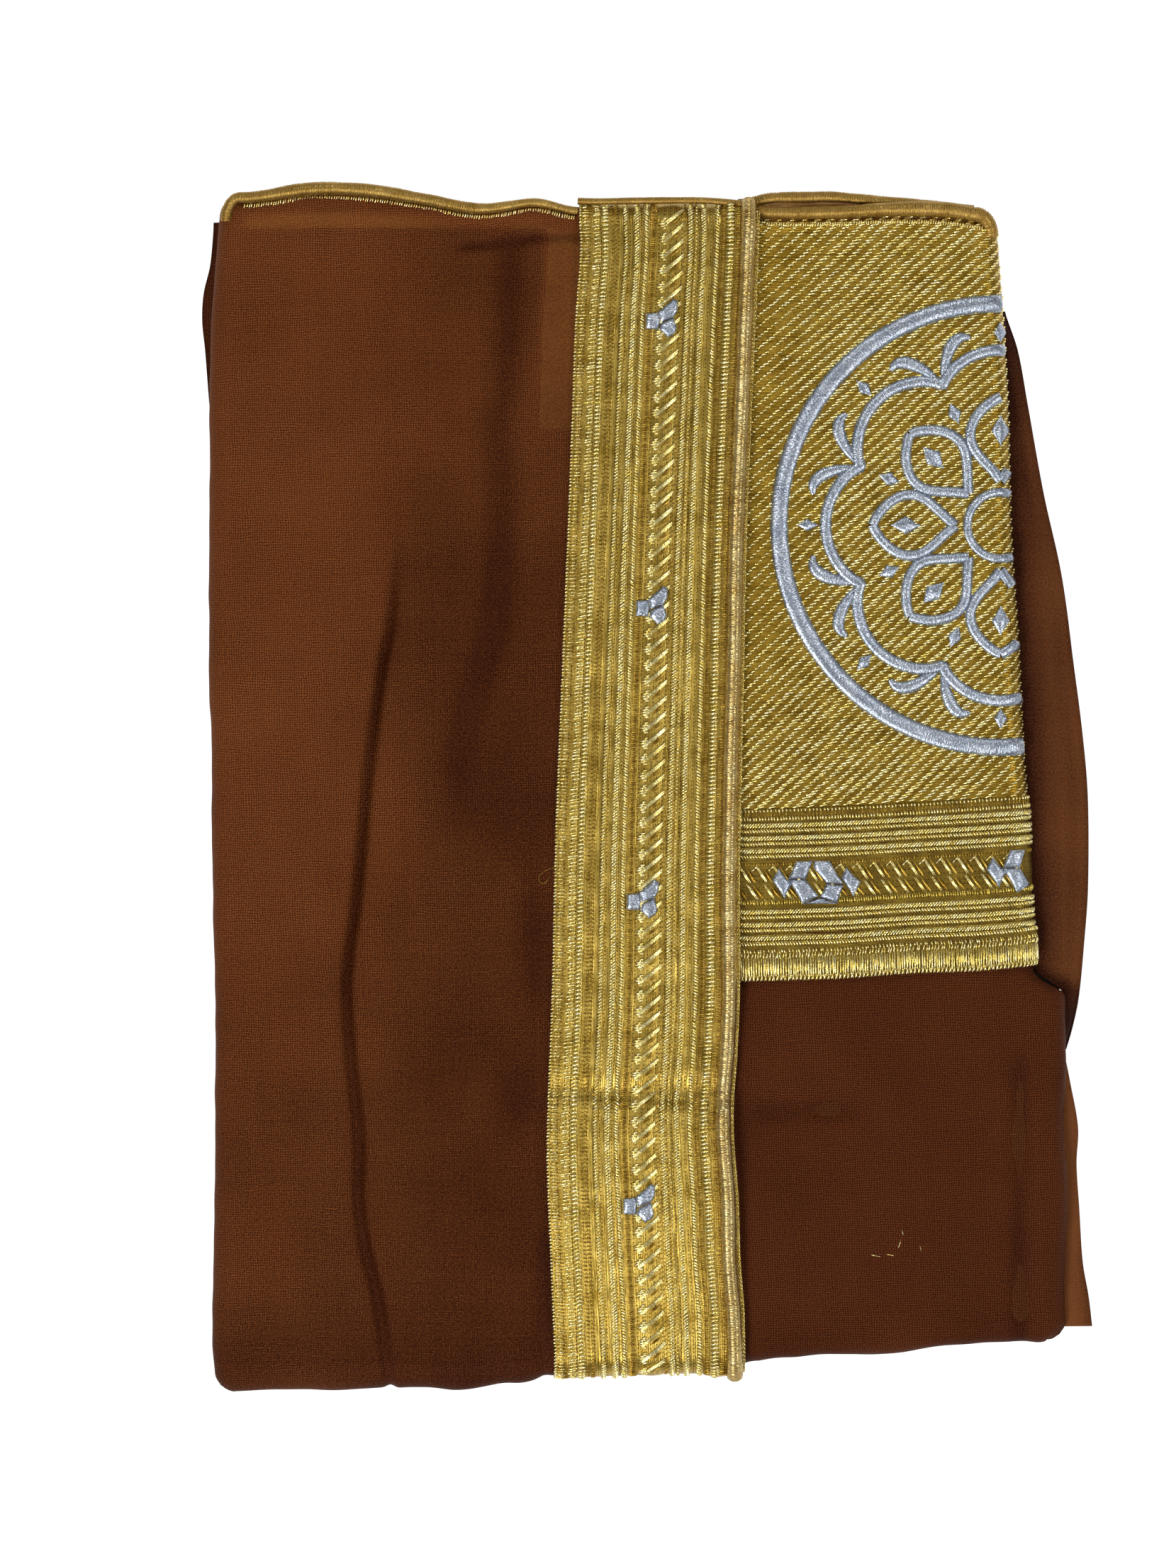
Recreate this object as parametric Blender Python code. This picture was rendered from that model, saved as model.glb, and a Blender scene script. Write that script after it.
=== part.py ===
# A bisht cloak folded into a flat pack, gold trim outwards.
# Frame: +X to the right and +Y to the shoulder line as the pack is seen from above, +Z up.
# The origin is under the middle of the pack, on the surface that it lies on.

import bpy
import bmesh
from math import asin, cos, degrees, pi, radians, sin, tan
from mathutils import Vector

MM = 0.001

# Driving sizes, in millimetres
GAP = 0.35
PANEL = 1.2
BAND = 1.3
FOLD_RADIUS = 5.0
OVERLAP = 10.0
RAMP = 4.0
CORD_TILT = 40.0
TILTS = (80.0, 54.0, 27.0)
LIPS = 4
RING_CENTRE = (116.9, 86.6)
RING_RADIUS = 73.4
RING_WIDTH = 6.2

# How high each layer's outer face lies over the folded layers
PANEL_TOP = GAP + PANEL
TRIM_BASE = PANEL_TOP + GAP

# Outlines as seen from above: where it is, and the edge there
COLUMNS_SIDE = ("y", "x")
LEFT_EDGE = (
    (200.0, -140.0), (190.0, -140.8), (176.0, -141.8), (148.0, -143.4), (85.0, -144.8),
    (40.0, -144.8), (10.0, -143.3), (-42.0, -143.3), (-75.0, -142.5), (-150.0, -142.9),
    (-183.0, -143.4), (-193.0, -142.6), (-200.0, -141.5),
)
YOKE_FOLD = (
    (200.0, 115.2), (183.0, 115.8), (162.0, 117.8), (143.0, 119.0), (83.0, 120.7),
    (58.0, 122.1), (29.0, 124.2), (-2.5, 126.0), (-29.0, 127.0), (-70.0, 129.3),
)
RIGHT_EDGE = (
    (-40.0, 128.0), (-58.0, 130.0), (-66.0, 137.5), (-73.0, 138.8), (-115.0, 138.6),
    (-143.0, 139.0), (-170.0, 138.7), (-200.0, 138.5),
)
BAND_LEFT = (
    (200.0, -22.0), (192.0, -22.5), (178.0, -21.8), (155.0, -23.4), (108.0, -25.1),
    (55.0, -27.2), (-15.0, -30.0), (-68.0, -31.2), (-105.0, -32.6), (-126.0, -32.8),
    (-150.0, -31.9), (-200.0, -29.8),
)
BAND_RIGHT = (
    (200.0, 37.6), (183.0, 37.0), (88.0, 33.0), (26.0, 31.6), (-30.0, 30.5),
    (-66.0, 30.5), (-86.0, 29.8), (-105.0, 28.5), (-115.0, 28.5), (-135.0, 30.0),
    (-155.0, 30.7), (-175.0, 32.1), (-200.0, 32.3),
)
SIDE_FOLD_EDGE = (
    (160.0, 118.6), (157.0, 119.2), (145.0, 123.2), (127.0, 126.5), (98.0, 131.7),
    (70.0, 137.8), (42.0, 141.6), (14.0, 145.1), (-5.0, 146.5), (-33.0, 146.5),
    (-51.0, 145.3), (-70.0, 143.4), (-80.0, 141.3), (-88.0, 139.0),
)
UNDER_FOLD_EDGE = (
    (-90.0, 140.0), (-113.0, 143.2), (-125.0, 142.7), (-140.0, 143.6), (-158.0, 144.8),
    (-169.0, 146.7), (-179.0, 147.9),
)
UNDER_LAYER_EDGE = (
    (186.5, -144.4), (183.0, -145.0), (173.0, -146.0), (164.0, -147.3), (155.0, -147.8),
    (145.0, -147.4), (136.0, -147.0), (127.0, -146.7), (118.0, -146.4),
)

# The shoulder line and the bottom fold: where it is across, and the outline there
COLUMNS_END = ("x", "y")
SHOULDER_LINE = (
    (-145.0, 197.0), (-139.0, 197.3), (-130.0, 197.4), (-111.0, 199.9), (-92.0, 199.4),
    (-73.0, 196.5), (-55.0, 193.6), (-36.0, 196.0), (-22.0, 194.6), (0.0, 194.8),
    (20.0, 194.8), (40.0, 193.0), (61.0, 193.0), (80.0, 193.9), (99.0, 193.6),
    (109.0, 192.2), (120.0, 190.5),
)
BOTTOM_LINE = (
    (-145.0, -199.8), (-110.0, -199.4), (-83.0, -197.9), (-73.0, -198.1), (-64.0, -199.6),
    (-54.0, -198.1), (-45.0, -196.7), (-30.0, -197.2), (0.0, -196.2), (28.0, -194.9),
    (36.0, -190.6), (50.0, -189.2), (80.0, -187.6), (109.0, -184.9), (129.0, -183.9),
    (148.0, -181.5),
)
BORDER_TOP = ((20.0, -7.9), (70.5, -6.2), (130.0, -2.7))
BORDER_BOTTOM = ((20.0, -63.8), (62.0, -62.7), (87.0, -61.0), (112.0, -60.0), (140.0, -57.0))

# Height of the folded layers under what covers them, across the pack
COLUMNS_HEIGHT = ("x", "height")
CROWN = (
    (-150.0, 18.6), (-120.0, 19.4), (-70.0, 19.9), (-20.0, 19.4), (20.0, 17.6),
    (60.0, 15.4), (100.0, 12.2), (125.0, 10.0), (150.0, 8.8),
)

# Relief of the main crease in the front panel: along, across, and its side trough
CREASE_LINE = (
    (100.0, -83.5), (77.0, -84.0), (42.0, -87.4), (7.0, -92.1), (-37.0, -96.1),
    (-68.0, -99.4), (-91.0, -97.9), (-136.0, -95.4), (-169.0, -89.0), (-200.0, -85.0),
)
TROUGH_LINE = (
    (180.0, -45.0), (136.0, -46.4), (104.0, -48.0), (56.0, -49.9), (31.0, -56.9),
    (7.0, -62.5), (-10.0, -61.0),
)

# The placket band across, from its sewn edge: share of its width, height of the gold work
COLUMNS_RELIEF = ("share", "raised")
BAND_RELIEF = (
    (0.0, 0.2), (0.03, 0.5), (0.14, 0.5), (0.19, 0.1), (0.235, 0.8), (0.275, 0.1),
    (0.32, 0.8), (0.37, 0.1), (0.43, 0.3), (0.46, 1.0), (0.55, 1.0), (0.59, 0.1),
    (0.64, 0.8), (0.68, 0.1), (0.72, 0.8),
)
# The same near the cord, as distances from the band's free edge
BAND_EDGE_RELIEF = ((-14.0, 0.1), (-10.0, 0.6), (-7.7, 0.4))
BORDER_RELIEF = (
    (0.0, 0.4), (0.06, 0.4), (0.09, 0.1), (0.14, 0.8), (0.19, 0.1), (0.24, 0.8),
    (0.29, 0.1), (0.33, 1.0), (0.54, 1.0), (0.59, 0.1), (0.65, 0.8), (0.71, 0.1),
    (0.77, 0.8), (0.83, 0.3), (0.88, 0.3), (1.0, 0.1),
)

# Lines that the layers share, so that their walls lie parallel: up the pack as shares of its
# length, and across it in millimetres
STATIONS = (
    0.0, 0.05, 0.1, 0.15, 0.2, 0.25, 0.303, 0.324, 0.345, 0.367, 0.378, 0.43, 0.49, 0.55,
    0.61, 0.67, 0.73, 0.79, 0.85, 0.92, 1.0,
)
PACK_COLUMNS = (
    -112.0, -92.0, -74.0, -64.0, -54.0, -44.0, -34.0, -24.0, -6.0, 14.0, 24.0, 30.0, 37.0,
    50.0, 70.0, 92.0,
)
FRONT_COLUMNS = (
    -126.0, -112.0, -103.0, -97.0, -92.0, -86.0, -80.0, -74.0, -64.0, -54.0, -44.0, -36.0,
)
RIGHT_COLUMNS = (30.0, 37.0, 50.0, 70.0, 92.0)

BROWN = (0.105, 0.040, 0.016)
DARK_BROWN = (0.065, 0.026, 0.012)
GOLD = (0.48, 0.34, 0.10)
SILVER = (0.40, 0.44, 0.50)


def clear_scene():
    for item in list(bpy.data.objects):
        bpy.data.objects.remove(item, do_unlink=True)


def along(rows, at):
    """Value at a place in a table of two columns, eased between its rows."""
    rows = sorted(rows)
    if at <= rows[0][0]:
        return rows[0][1]
    if at >= rows[-1][0]:
        return rows[-1][1]
    for index in range(len(rows) - 1):
        start, end = rows[index], rows[index + 1]
        if at <= end[0]:
            before = rows[max(index - 1, 0)]
            after = rows[min(index + 2, len(rows) - 1)]
            width = end[0] - start[0]
            share = (at - start[0]) / width
            slope_start = (end[1] - before[1]) / (end[0] - before[0]) * width
            slope_end = (after[1] - start[1]) / (after[0] - start[0]) * width
            square, cube = share ** 2, share ** 3
            return (
                (2 * cube - 3 * square + 1) * start[1]
                + (cube - 2 * square + share) * slope_start
                + (3 * square - 2 * cube) * end[1]
                + (cube - square) * slope_end
            )
    return rows[-1][1]


def straight(rows, at):
    """Value at a place in a table of two columns, by straight lines between its rows."""
    rows = sorted(rows)
    if at <= rows[0][0]:
        return rows[0][1]
    for start, end in zip(rows, rows[1:]):
        if at <= end[0]:
            return start[1] + (end[1] - start[1]) * (at - start[0]) / (end[0] - start[0])
    return rows[-1][1]


def step(low, high, at):
    """0 below low, 1 above high and a smooth rise between them."""
    share = min(max((at - low) / (high - low), 0.0), 1.0)
    return share * share * (3 - 2 * share)


def spine_left(y):
    return along(LEFT_EDGE, y) + FOLD_RADIUS + PANEL_TOP


def spine_right(y):
    """Centre of the right fold: the yoke's down to the border, then the lower panel's."""
    lower = step(-60.5, -69.0, y)
    edge = (1 - lower) * along(YOKE_FOLD, y) + lower * along(RIGHT_EDGE, y)
    return edge - FOLD_RADIUS - PANEL_TOP


def spine_top(x):
    return along(SHOULDER_LINE, x) - 8.4 - 1.4 * step(-40, -24, x)


def spine_bottom(x):
    rolled = 7.0 + 2.6 * step(-44, -30, x) * (1 - step(28, 38, x))
    return along(BOTTOM_LINE, x) + rolled


def crown(x, y):
    """Height of the folded layers at a place, without what covers them."""
    ends = 1.2 * step(150, 190, y) + 1.6 * step(-140, -190, y)
    return along(CROWN, x) - ends


def on_pack(x, y, tilt_x=0.0, tilt_y=0.0, rise=0.0):
    """Point over the folded layers, tilted round a fold by two angles in degrees."""
    normal = Vector((tan(radians(tilt_x)), tan(radians(tilt_y)), 1.0)).normalized()
    centre = Vector((x, y, crown(x, y) - FOLD_RADIUS))
    return centre + normal * (FOLD_RADIUS + rise)


def front_lift(x, y):
    """How far the front rises where it laps over the pieces beside it."""
    over = min(max((x - along(BAND_RIGHT, y) + OVERLAP + RAMP) / RAMP, 0.0), 1.0)
    doubled = step(-46, -50, y) * (1 - step(-68, -96, y))
    return over * (PANEL_TOP + 0.15) * (1 + doubled)


def border_lift(y, x):
    """How far the border rises where it laps over the lower panel."""
    edge = along(BORDER_BOTTOM, x)
    over = min(max((edge + OVERLAP + RAMP - y) / RAMP, 0.0), 1.0)
    return over * (PANEL_TOP + 0.15)


def crease(x, y):
    """Raised folds in the front panel, never below its plain face."""
    off = x - along(CREASE_LINE, y)
    ridge = 1.3 * step(-2, 3, off) * (1 - step(4, 26, off)) * step(96, 40, y)
    trough = x - along(TROUGH_LINE, y)
    banks = 0.7 * step(3, 9, abs(trough)) * (1 - step(9, 20, abs(trough)))
    banks *= step(-10, 20, y) * (1 - step(150, 178, y))
    inside = step(5, 12, along(BAND_LEFT, y) - x) * step(4, 20, x - spine_left(y))
    return (ridge + banks) * inside


def material(name, colour, metallic, roughness):
    made = bpy.data.materials.new(name)
    made.use_nodes = True
    shader = made.node_tree.nodes["Principled BSDF"]
    shader.inputs["Base Color"].default_value = (*colour, 1.0)
    shader.inputs["Metallic"].default_value = metallic
    shader.inputs["Roughness"].default_value = roughness
    return made


def finish(name, mesh_data, look):
    """Object from a bmesh in millimetres, with its faces turned out."""
    bmesh.ops.recalc_face_normals(mesh_data, faces=mesh_data.faces)
    if mesh_data.calc_volume(signed=True) < 0:
        bmesh.ops.reverse_faces(mesh_data, faces=mesh_data.faces)
    bmesh.ops.scale(mesh_data, vec=(MM, MM, MM), verts=mesh_data.verts)
    mesh = bpy.data.meshes.new(name)
    mesh_data.to_mesh(mesh)
    mesh_data.free()
    mesh.materials.append(look)
    item = bpy.data.objects.new(name, mesh)
    bpy.context.scene.collection.objects.link(item)
    return item


def quad_grid(made, rows, flipped=False):
    """Faces between rows of bmesh vertices."""
    for lower, upper in zip(rows, rows[1:]):
        for index in range(len(lower) - 1):
            corners = [lower[index], lower[index + 1], upper[index + 1], upper[index]]
            made.faces.new([corners[turn] for turn in ((0, 3, 2, 1) if flipped else (0, 1, 2, 3))])


def border_loop(rows):
    """Vertices round the edge of a grid, in order."""
    loop = list(rows[0])
    loop += [row[-1] for row in rows[1:]]
    loop += rows[-1][-2::-1]
    loop += [row[0] for row in rows[-2:0:-1]]
    return loop


def slab(name, outer, inner, look):
    """Closed wall between two grids of points of the same size."""
    made = bmesh.new()
    top = [[made.verts.new(point) for point in row] for row in outer]
    under = [[made.verts.new(point) for point in row] for row in inner]
    quad_grid(made, top)
    quad_grid(made, under, flipped=True)
    top_loop, under_loop = border_loop(top), border_loop(under)
    count = len(top_loop)
    for index in range(count):
        after = (index + 1) % count
        made.faces.new([top_loop[index], under_loop[index], under_loop[after], top_loop[after]])
    return finish(name, made, look)


def spread(count):
    return [index / (count - 1) for index in range(count)]


def tube(name, path, look, sides=8):
    """Closed round cord along points that carry their own radius."""
    made = bmesh.new()
    rings = []
    for index, (point, radius) in enumerate(path):
        before = path[max(index - 1, 0)][0]
        after = path[min(index + 1, len(path) - 1)][0]
        way = (after - before).normalized()
        side = way.cross(Vector((0, 0, 1))).normalized()
        up = side.cross(way)
        ring = []
        for turn in range(sides):
            angle = 2 * pi * turn / sides
            ring.append(made.verts.new(point + (side * cos(angle) + up * sin(angle)) * radius))
        rings.append(ring)
    for lower, upper in zip(rings, rings[1:]):
        for index in range(sides):
            after = (index + 1) % sides
            made.faces.new([lower[index], lower[after], upper[after], upper[index]])
    made.faces.new(rings[0][::-1])
    made.faces.new(rings[-1])
    return finish(name, made, look)


def settle(x_at, y_at):
    """Place where a line across the pack, x from y, meets a line up it, y from x."""
    x = x_at(0.0)
    y = y_at(x)
    for _ in range(4):
        x = x_at(y)
        y = y_at(x)
    return x, y


def fixed(value):
    return lambda y: value


def off_band(distance):
    return lambda y: along(BAND_RIGHT, y) + distance


def in_band(share):
    def place(y):
        left, right = along(BAND_LEFT, y), along(BAND_RIGHT, y)
        return left + (right - left) * share
    return place


def up_pack(share):
    def place(x):
        low, high = spine_bottom(x), spine_top(x)
        return low + (high - low) * share
    return place


def columns_left():
    return [(-tilt, spine_left) for tilt in TILTS] + [(0.0, spine_left)]


def columns_right(spine):
    return [(0.0, spine)] + [(tilt, spine) for tilt in reversed(TILTS)]


def rows_low():
    return [(-tilt, up_pack(0.0)) for tilt in TILTS]


def rows_high():
    return [(tilt, up_pack(1.0)) for tilt in reversed(TILTS)]


def rows_between(low, high):
    return [(0.0, up_pack(share)) for share in STATIONS if low <= share <= high]


def draped(rows, columns, height):
    """Grid of points over the pack; height gives the rise from x, y and the column's number."""
    grid = []
    for tilt_y, y_at in rows:
        row = []
        for number, (tilt_x, x_at) in enumerate(columns):
            x, y = settle(x_at, y_at)
            row.append(on_pack(x, y, tilt_x, tilt_y, height(x, y, number)))
        grid.append(row)
    return grid


def make_folded_layers(look):
    """All hidden layers of body and sleeves as one rounded solid with layered edges."""
    columns = columns_left() + [(0.0, fixed(x)) for x in PACK_COLUMNS]
    columns += columns_right(spine_right)
    made = bmesh.new()
    grid = []
    centres = []
    for tilt_y, y_at in ALL_ROWS:
        row = []
        centre_row = []
        for tilt_x, x_at in columns:
            x, y = settle(x_at, y_at)
            corner = -0.4 if tilt_x and tilt_y else 0.0
            row.append(made.verts.new(on_pack(x, y, tilt_x, tilt_y, corner)))
            centre_row.append(Vector((x, y, 0.0)))
        grid.append(row)
        centres.append(centre_row)
    quad_grid(made, grid)
    ring = border_loop(grid)
    hubs = border_loop(centres)
    count = len(ring)
    tops = [vertex.co.copy() for vertex in ring]
    for level in range(1, 2 * LIPS + 1):
        share = level / (2 * LIPS)
        reach = FOLD_RADIUS + (1.2 if level % 2 == 0 else -0.9)
        if level == 2 * LIPS:
            reach = FOLD_RADIUS - 0.6
        lower_ring = []
        for index in range(count):
            out = Vector((tops[index].x, tops[index].y, 0.0)) - hubs[index]
            out.normalize()
            place = hubs[index] + out * reach
            place.z = tops[index].z * (1 - share)
            lower_ring.append(made.verts.new(place))
        for index in range(count):
            after = (index + 1) % count
            made.faces.new([ring[index], ring[after], lower_ring[after], lower_ring[index]])
        ring = lower_ring
    made.faces.new(ring)
    return finish("folded_layers", made, look)


ALL_ROWS = rows_low() + rows_between(0.0, 1.0) + rows_high()


def make_front_panel(look):
    """Sheer front: rolled round the left edge, the shoulder line and the bottom fold."""
    columns = columns_left() + [(0.0, fixed(x)) for x in FRONT_COLUMNS]
    columns += [(0.0, in_band(share)) for share in (0.0, 0.14, 0.275, 0.43, 0.59, 0.72)]
    columns += [(0.0, off_band(-away)) for away in (OVERLAP + RAMP, OVERLAP, 2.0)]

    def outside(x, y, number):
        return PANEL_TOP + front_lift(x, y) + crease(x, y)

    def inside(x, y, number):
        return GAP + front_lift(x, y)

    outer = draped(ALL_ROWS, columns, outside)
    return slab("front_panel", outer, draped(ALL_ROWS, columns, inside), look)


def make_placket_band(look):
    """Gold band sewn on the front's edge, its ribs and braid raised over a plain back."""
    columns = [(0.0, in_band(share)) for share, raised in BAND_RELIEF]
    columns += [(0.0, off_band(away)) for away, raised in BAND_EDGE_RELIEF]
    raises = [raised for place, raised in BAND_RELIEF + BAND_EDGE_RELIEF]

    def inside(x, y, number):
        lift = front_lift(x, y)
        return TRIM_BASE + lift + 0.25 * min(lift, 1.0)

    def outside(x, y, number):
        return inside(x, y, number) + BAND + raises[number]

    outer = draped(ALL_ROWS, columns, outside)
    return slab("placket_band", outer, draped(ALL_ROWS, columns, inside), look)


def make_placket_cord(look):
    """Round satin cord along the band's free edge."""
    radius = 2.7
    path = []
    for tilt_y, y_at in ALL_ROWS:
        x, y = settle(off_band(-4.6), y_at)
        rise = TRIM_BASE + front_lift(x, y) + radius + 0.1
        path.append((on_pack(x, y, 0.0, tilt_y, rise), radius))
    return tube("placket_cord", path, look)


def covered(name, rows, columns, look, lift=None):
    """Slab of one panel's thickness on the folded layers."""
    def outside(x, y, number):
        return PANEL_TOP + (lift(x, y) if lift else 0.0)

    def inside(x, y, number):
        return GAP + (lift(x, y) if lift else 0.0)

    return slab(name, draped(rows, columns, outside), draped(rows, columns, inside), look)


def right_columns(spine):
    columns = [(0.0, off_band(1.5 - OVERLAP))] + [(0.0, fixed(x)) for x in RIGHT_COLUMNS]
    return columns + columns_right(spine)


def make_yoke_panel(look):
    """Gold panel from under the band to the fold on the right."""
    def low(x):
        return along(BORDER_TOP, x) + GAP / 2

    rows = [(0.0, low)] + rows_between(0.52, 1.0) + rows_high()
    return covered("yoke_panel", rows, right_columns(spine_right), look)


def make_yoke_border(look):
    """Gold trim along the yoke's lower edge, lapped over the lower panel."""
    def spine(y):
        return along(YOKE_FOLD, y) - FOLD_RADIUS - PANEL_TOP

    def line(share):
        def place(x):
            high = along(BORDER_TOP, x) - GAP / 2
            return high + (along(BORDER_BOTTOM, x) - high) * share
        return place

    outer, inner = [], []
    for share, raised in BORDER_RELIEF:
        outer_row, inner_row = [], []
        for tilt_x, x_at in right_columns(spine):
            x, y = settle(x_at, line(share))
            shown = step(-1, 3, x - along(BAND_RIGHT, y))
            lift = border_lift(y, x)
            outer_row.append(on_pack(x, y, tilt_x, 0.0, PANEL_TOP + lift + raised * shown))
            inner_row.append(on_pack(x, y, tilt_x, 0.0, GAP + lift))
        outer.append(outer_row)
        inner.append(inner_row)
    return slab("yoke_border", outer, inner, look)


def make_right_panel(look):
    """Sheer panel beyond the band, from under the border to the bottom fold."""
    def high(x):
        return along(BORDER_BOTTOM, x) + OVERLAP - 2

    rows = rows_low() + rows_between(0.0, 0.33) + [(0.0, high)]
    return covered("right_panel", rows, right_columns(spine_right), look)


def make_flap(name, edge_rows, places, reach, heights, look):
    """Thin folded cloth that sticks out at one side, flat underneath."""
    outer, inner = [], []
    for y in places:
        edge = along(edge_rows, y)
        root = reach(y)
        outer_row, inner_row = [], []
        for share_x, height in heights:
            x = root + (edge - root) * share_x
            outer_row.append(Vector((x, y, height)))
            inner_row.append(Vector((x, y, 0.0)))
        outer.append(outer_row)
        inner.append(inner_row)
    return slab(name, outer, inner, look)


def spine_side_root(out):
    return lambda y: spine_right(y) + out


def yoke_point(x, y, rise):
    """Point over the yoke for a place seen from above, carried round its right fold."""
    spine = spine_right(y)
    if x <= spine:
        return on_pack(x, y, 0.0, 0.0, rise)
    turn = min((x - spine) / (FOLD_RADIUS + PANEL_TOP), sin(radians(76)))
    clear = 0.45 * min((x - spine) / 1.5, 1.0)
    return on_pack(spine, y, degrees(asin(turn)), 0.0, rise + clear)


def ribbon(name, centre_line, width, height, look):
    """Raised satin line on the yoke along points that carry their own side vector."""
    outer, inner = [], []
    base = PANEL_TOP + GAP + 0.1
    shares = ((-0.5, 0.25), (-0.25, 0.85), (0.25, 0.85), (0.5, 0.25))
    for x, y, side_x, side_y in centre_line:
        outer_row, inner_row = [], []
        for share, full in shares:
            place_x, place_y = x + side_x * width * share, y + side_y * width * share
            outer_row.append(yoke_point(place_x, place_y, base + height * full))
            inner_row.append(yoke_point(place_x, place_y, base))
        outer.append(outer_row)
        inner.append(inner_row)
    return slab(name, outer, inner, look)


def make_medallion_ring(look):
    """Raised silver ring, cut by the yoke's fold."""
    line = []
    for share in spread(49):
        angle = radians(93 + 181.5 * share)
        out_x, out_y = cos(angle), sin(angle)
        line.append((RING_CENTRE[0] + RING_RADIUS * out_x, RING_CENTRE[1] + RING_RADIUS * out_y, out_x, out_y))
    return ribbon("medallion_ring", line, RING_WIDTH, 1.1, look)


def make_medallion_rosette(look):
    """Generic eight-lobed line inside the ring."""
    line = []
    for share in spread(65):
        angle = radians(91 + 180 * share)
        out_x, out_y = cos(angle), sin(angle)
        radius = 47.0 + 9.0 * abs(cos(4 * angle)) ** 0.7
        line.append((RING_CENTRE[0] + radius * out_x, RING_CENTRE[1] + radius * out_y, out_x, out_y))
    return ribbon("medallion_rosette", line, 3.6, 0.9, look)


def shoulder_cord(name, rows, line, look, drop=0.0):
    """Satin cord along the shoulder line: across, radius; and how it sits on the fold."""
    path = []
    low, high = rows[0][0], rows[-1][0]
    count = max(int((high - low) / 6), 8)
    for share in spread(count + 1):
        x = low + (high - low) * share
        radius = straight(rows, x)
        path.append((line(x, radius), radius))
    return tube(name, path, look)


def on_shoulder(x, radius, rise=PANEL_TOP):
    return on_pack(x, spine_top(x), 0.0, CORD_TILT, rise + GAP + 0.1 + radius)


def over_band(x, radius):
    rise = TRIM_BASE + BAND + 1.0 + GAP + 0.1 + radius + front_lift(x, spine_top(x))
    return on_pack(x, spine_top(x), 0.0, 62.0, rise)


def behind_shoulder(x, radius):
    front = on_shoulder(x, 2.4)
    return Vector((x, front.y + 3.5, front.z - 3.9))


def main():
    clear_scene()
    brown = material("brown_voile", BROWN, 0.0, 0.9)
    dark = material("dark_voile", DARK_BROWN, 0.0, 0.9)
    gold = material("zari_gold", GOLD, 0.85, 0.42)
    silver = material("zari_silver", SILVER, 0.85, 0.38)

    make_folded_layers(dark)
    make_front_panel(brown)
    make_placket_band(gold)
    make_placket_cord(gold)
    make_yoke_panel(gold)
    make_yoke_border(gold)
    make_right_panel(dark)
    make_medallion_ring(silver)
    make_medallion_rosette(silver)

    out = FOLD_RADIUS + 1.2 + GAP

    def side_root(y):
        lower = straight(((-67.0, 1.0), (-59.0, 0.0)), y)
        edge = (1 - lower) * along(YOKE_FOLD, y) + lower * along(RIGHT_EDGE, y)
        return edge - PANEL_TOP - FOLD_RADIUS + out

    def left_root(y):
        return spine_left(y) - out

    wedge = ((0.0, 4.4), (0.35, 3.8), (0.75, 2.8), (1.0, 1.6))
    side_places = (-84.0, -76.0, -67.0, -59.0, -46.0, -30.0, -10.0, 14.0, 42.0, 70.0, 98.0, 125.0, 143.0, 152.0)
    make_flap("side_fold", SIDE_FOLD_EDGE, side_places, side_root, wedge, brown)
    thin = ((0.0, 2.6), (0.6, 2.2), (1.0, 1.3))
    under_places = (-178.0, -168.0, -155.0, -140.0, -125.0, -112.0, -98.0)
    make_flap("under_fold", UNDER_FOLD_EDGE, under_places, spine_side_root(out), thin, dark)
    left_places = (118.0, 127.0, 136.0, 145.0, 155.0, 164.0, 175.0, 186.0)
    make_flap("left_under_layer", UNDER_LAYER_EDGE, left_places, left_root, thin, dark)

    left_rows = ((-133.5, 1.9), (-110.0, 2.2), (-80.0, 2.1), (-50.0, 1.9), (-28.0, 1.4))
    shoulder_cord("shoulder_cord_left", left_rows, on_shoulder, gold)
    shoulder_cord("shoulder_cord_band", ((-21.5, 1.1), (27.5, 1.1)), over_band, gold)
    right_rows = ((39.5, 1.7), (61.0, 2.0), (80.0, 2.4), (98.0, 2.6), (107.5, 2.2))
    shoulder_cord("shoulder_cord_right", right_rows, on_shoulder, gold)
    back_rows = ((44.0, 1.9), (70.0, 2.1), (104.0, 1.8))
    shoulder_cord("shoulder_cord_back", back_rows, behind_shoulder, gold)


main()
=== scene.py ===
# A bisht cloak folded into a flat pack: sheer brown voile with gold zari trim
# Lengths are in millimetres until a mesh is made, and +Y runs to the shoulder line
from math import cos, pi, radians, sin

import bmesh
import bpy
import numpy as np
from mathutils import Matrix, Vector


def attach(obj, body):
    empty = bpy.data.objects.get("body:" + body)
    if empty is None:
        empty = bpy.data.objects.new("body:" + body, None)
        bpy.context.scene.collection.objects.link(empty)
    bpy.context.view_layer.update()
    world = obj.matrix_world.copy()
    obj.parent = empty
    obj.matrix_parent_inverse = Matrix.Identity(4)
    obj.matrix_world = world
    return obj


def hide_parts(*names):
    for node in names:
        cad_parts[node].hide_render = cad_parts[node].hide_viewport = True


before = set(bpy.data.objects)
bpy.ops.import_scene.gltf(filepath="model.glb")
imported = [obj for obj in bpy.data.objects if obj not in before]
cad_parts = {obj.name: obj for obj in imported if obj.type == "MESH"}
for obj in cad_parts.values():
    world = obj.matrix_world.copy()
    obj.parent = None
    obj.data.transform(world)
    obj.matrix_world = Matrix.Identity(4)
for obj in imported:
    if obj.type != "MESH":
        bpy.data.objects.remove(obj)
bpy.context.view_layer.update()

MM = 0.001
PHOTO_HEIGHT = 2212
PIXEL = 0.23433

# Sizes shared with the solids
FOLD_RADIUS = 5.0
PANEL_TOP = 1.55
TRIM_BASE = 1.9
BAND_TOP = 3.2
BORDER_HEIGHT = 56.0
CORD_TILT = radians(40)
RING_CENTRE = (116.9, 86.6)
RING_RADIUS = 73.4
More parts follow.
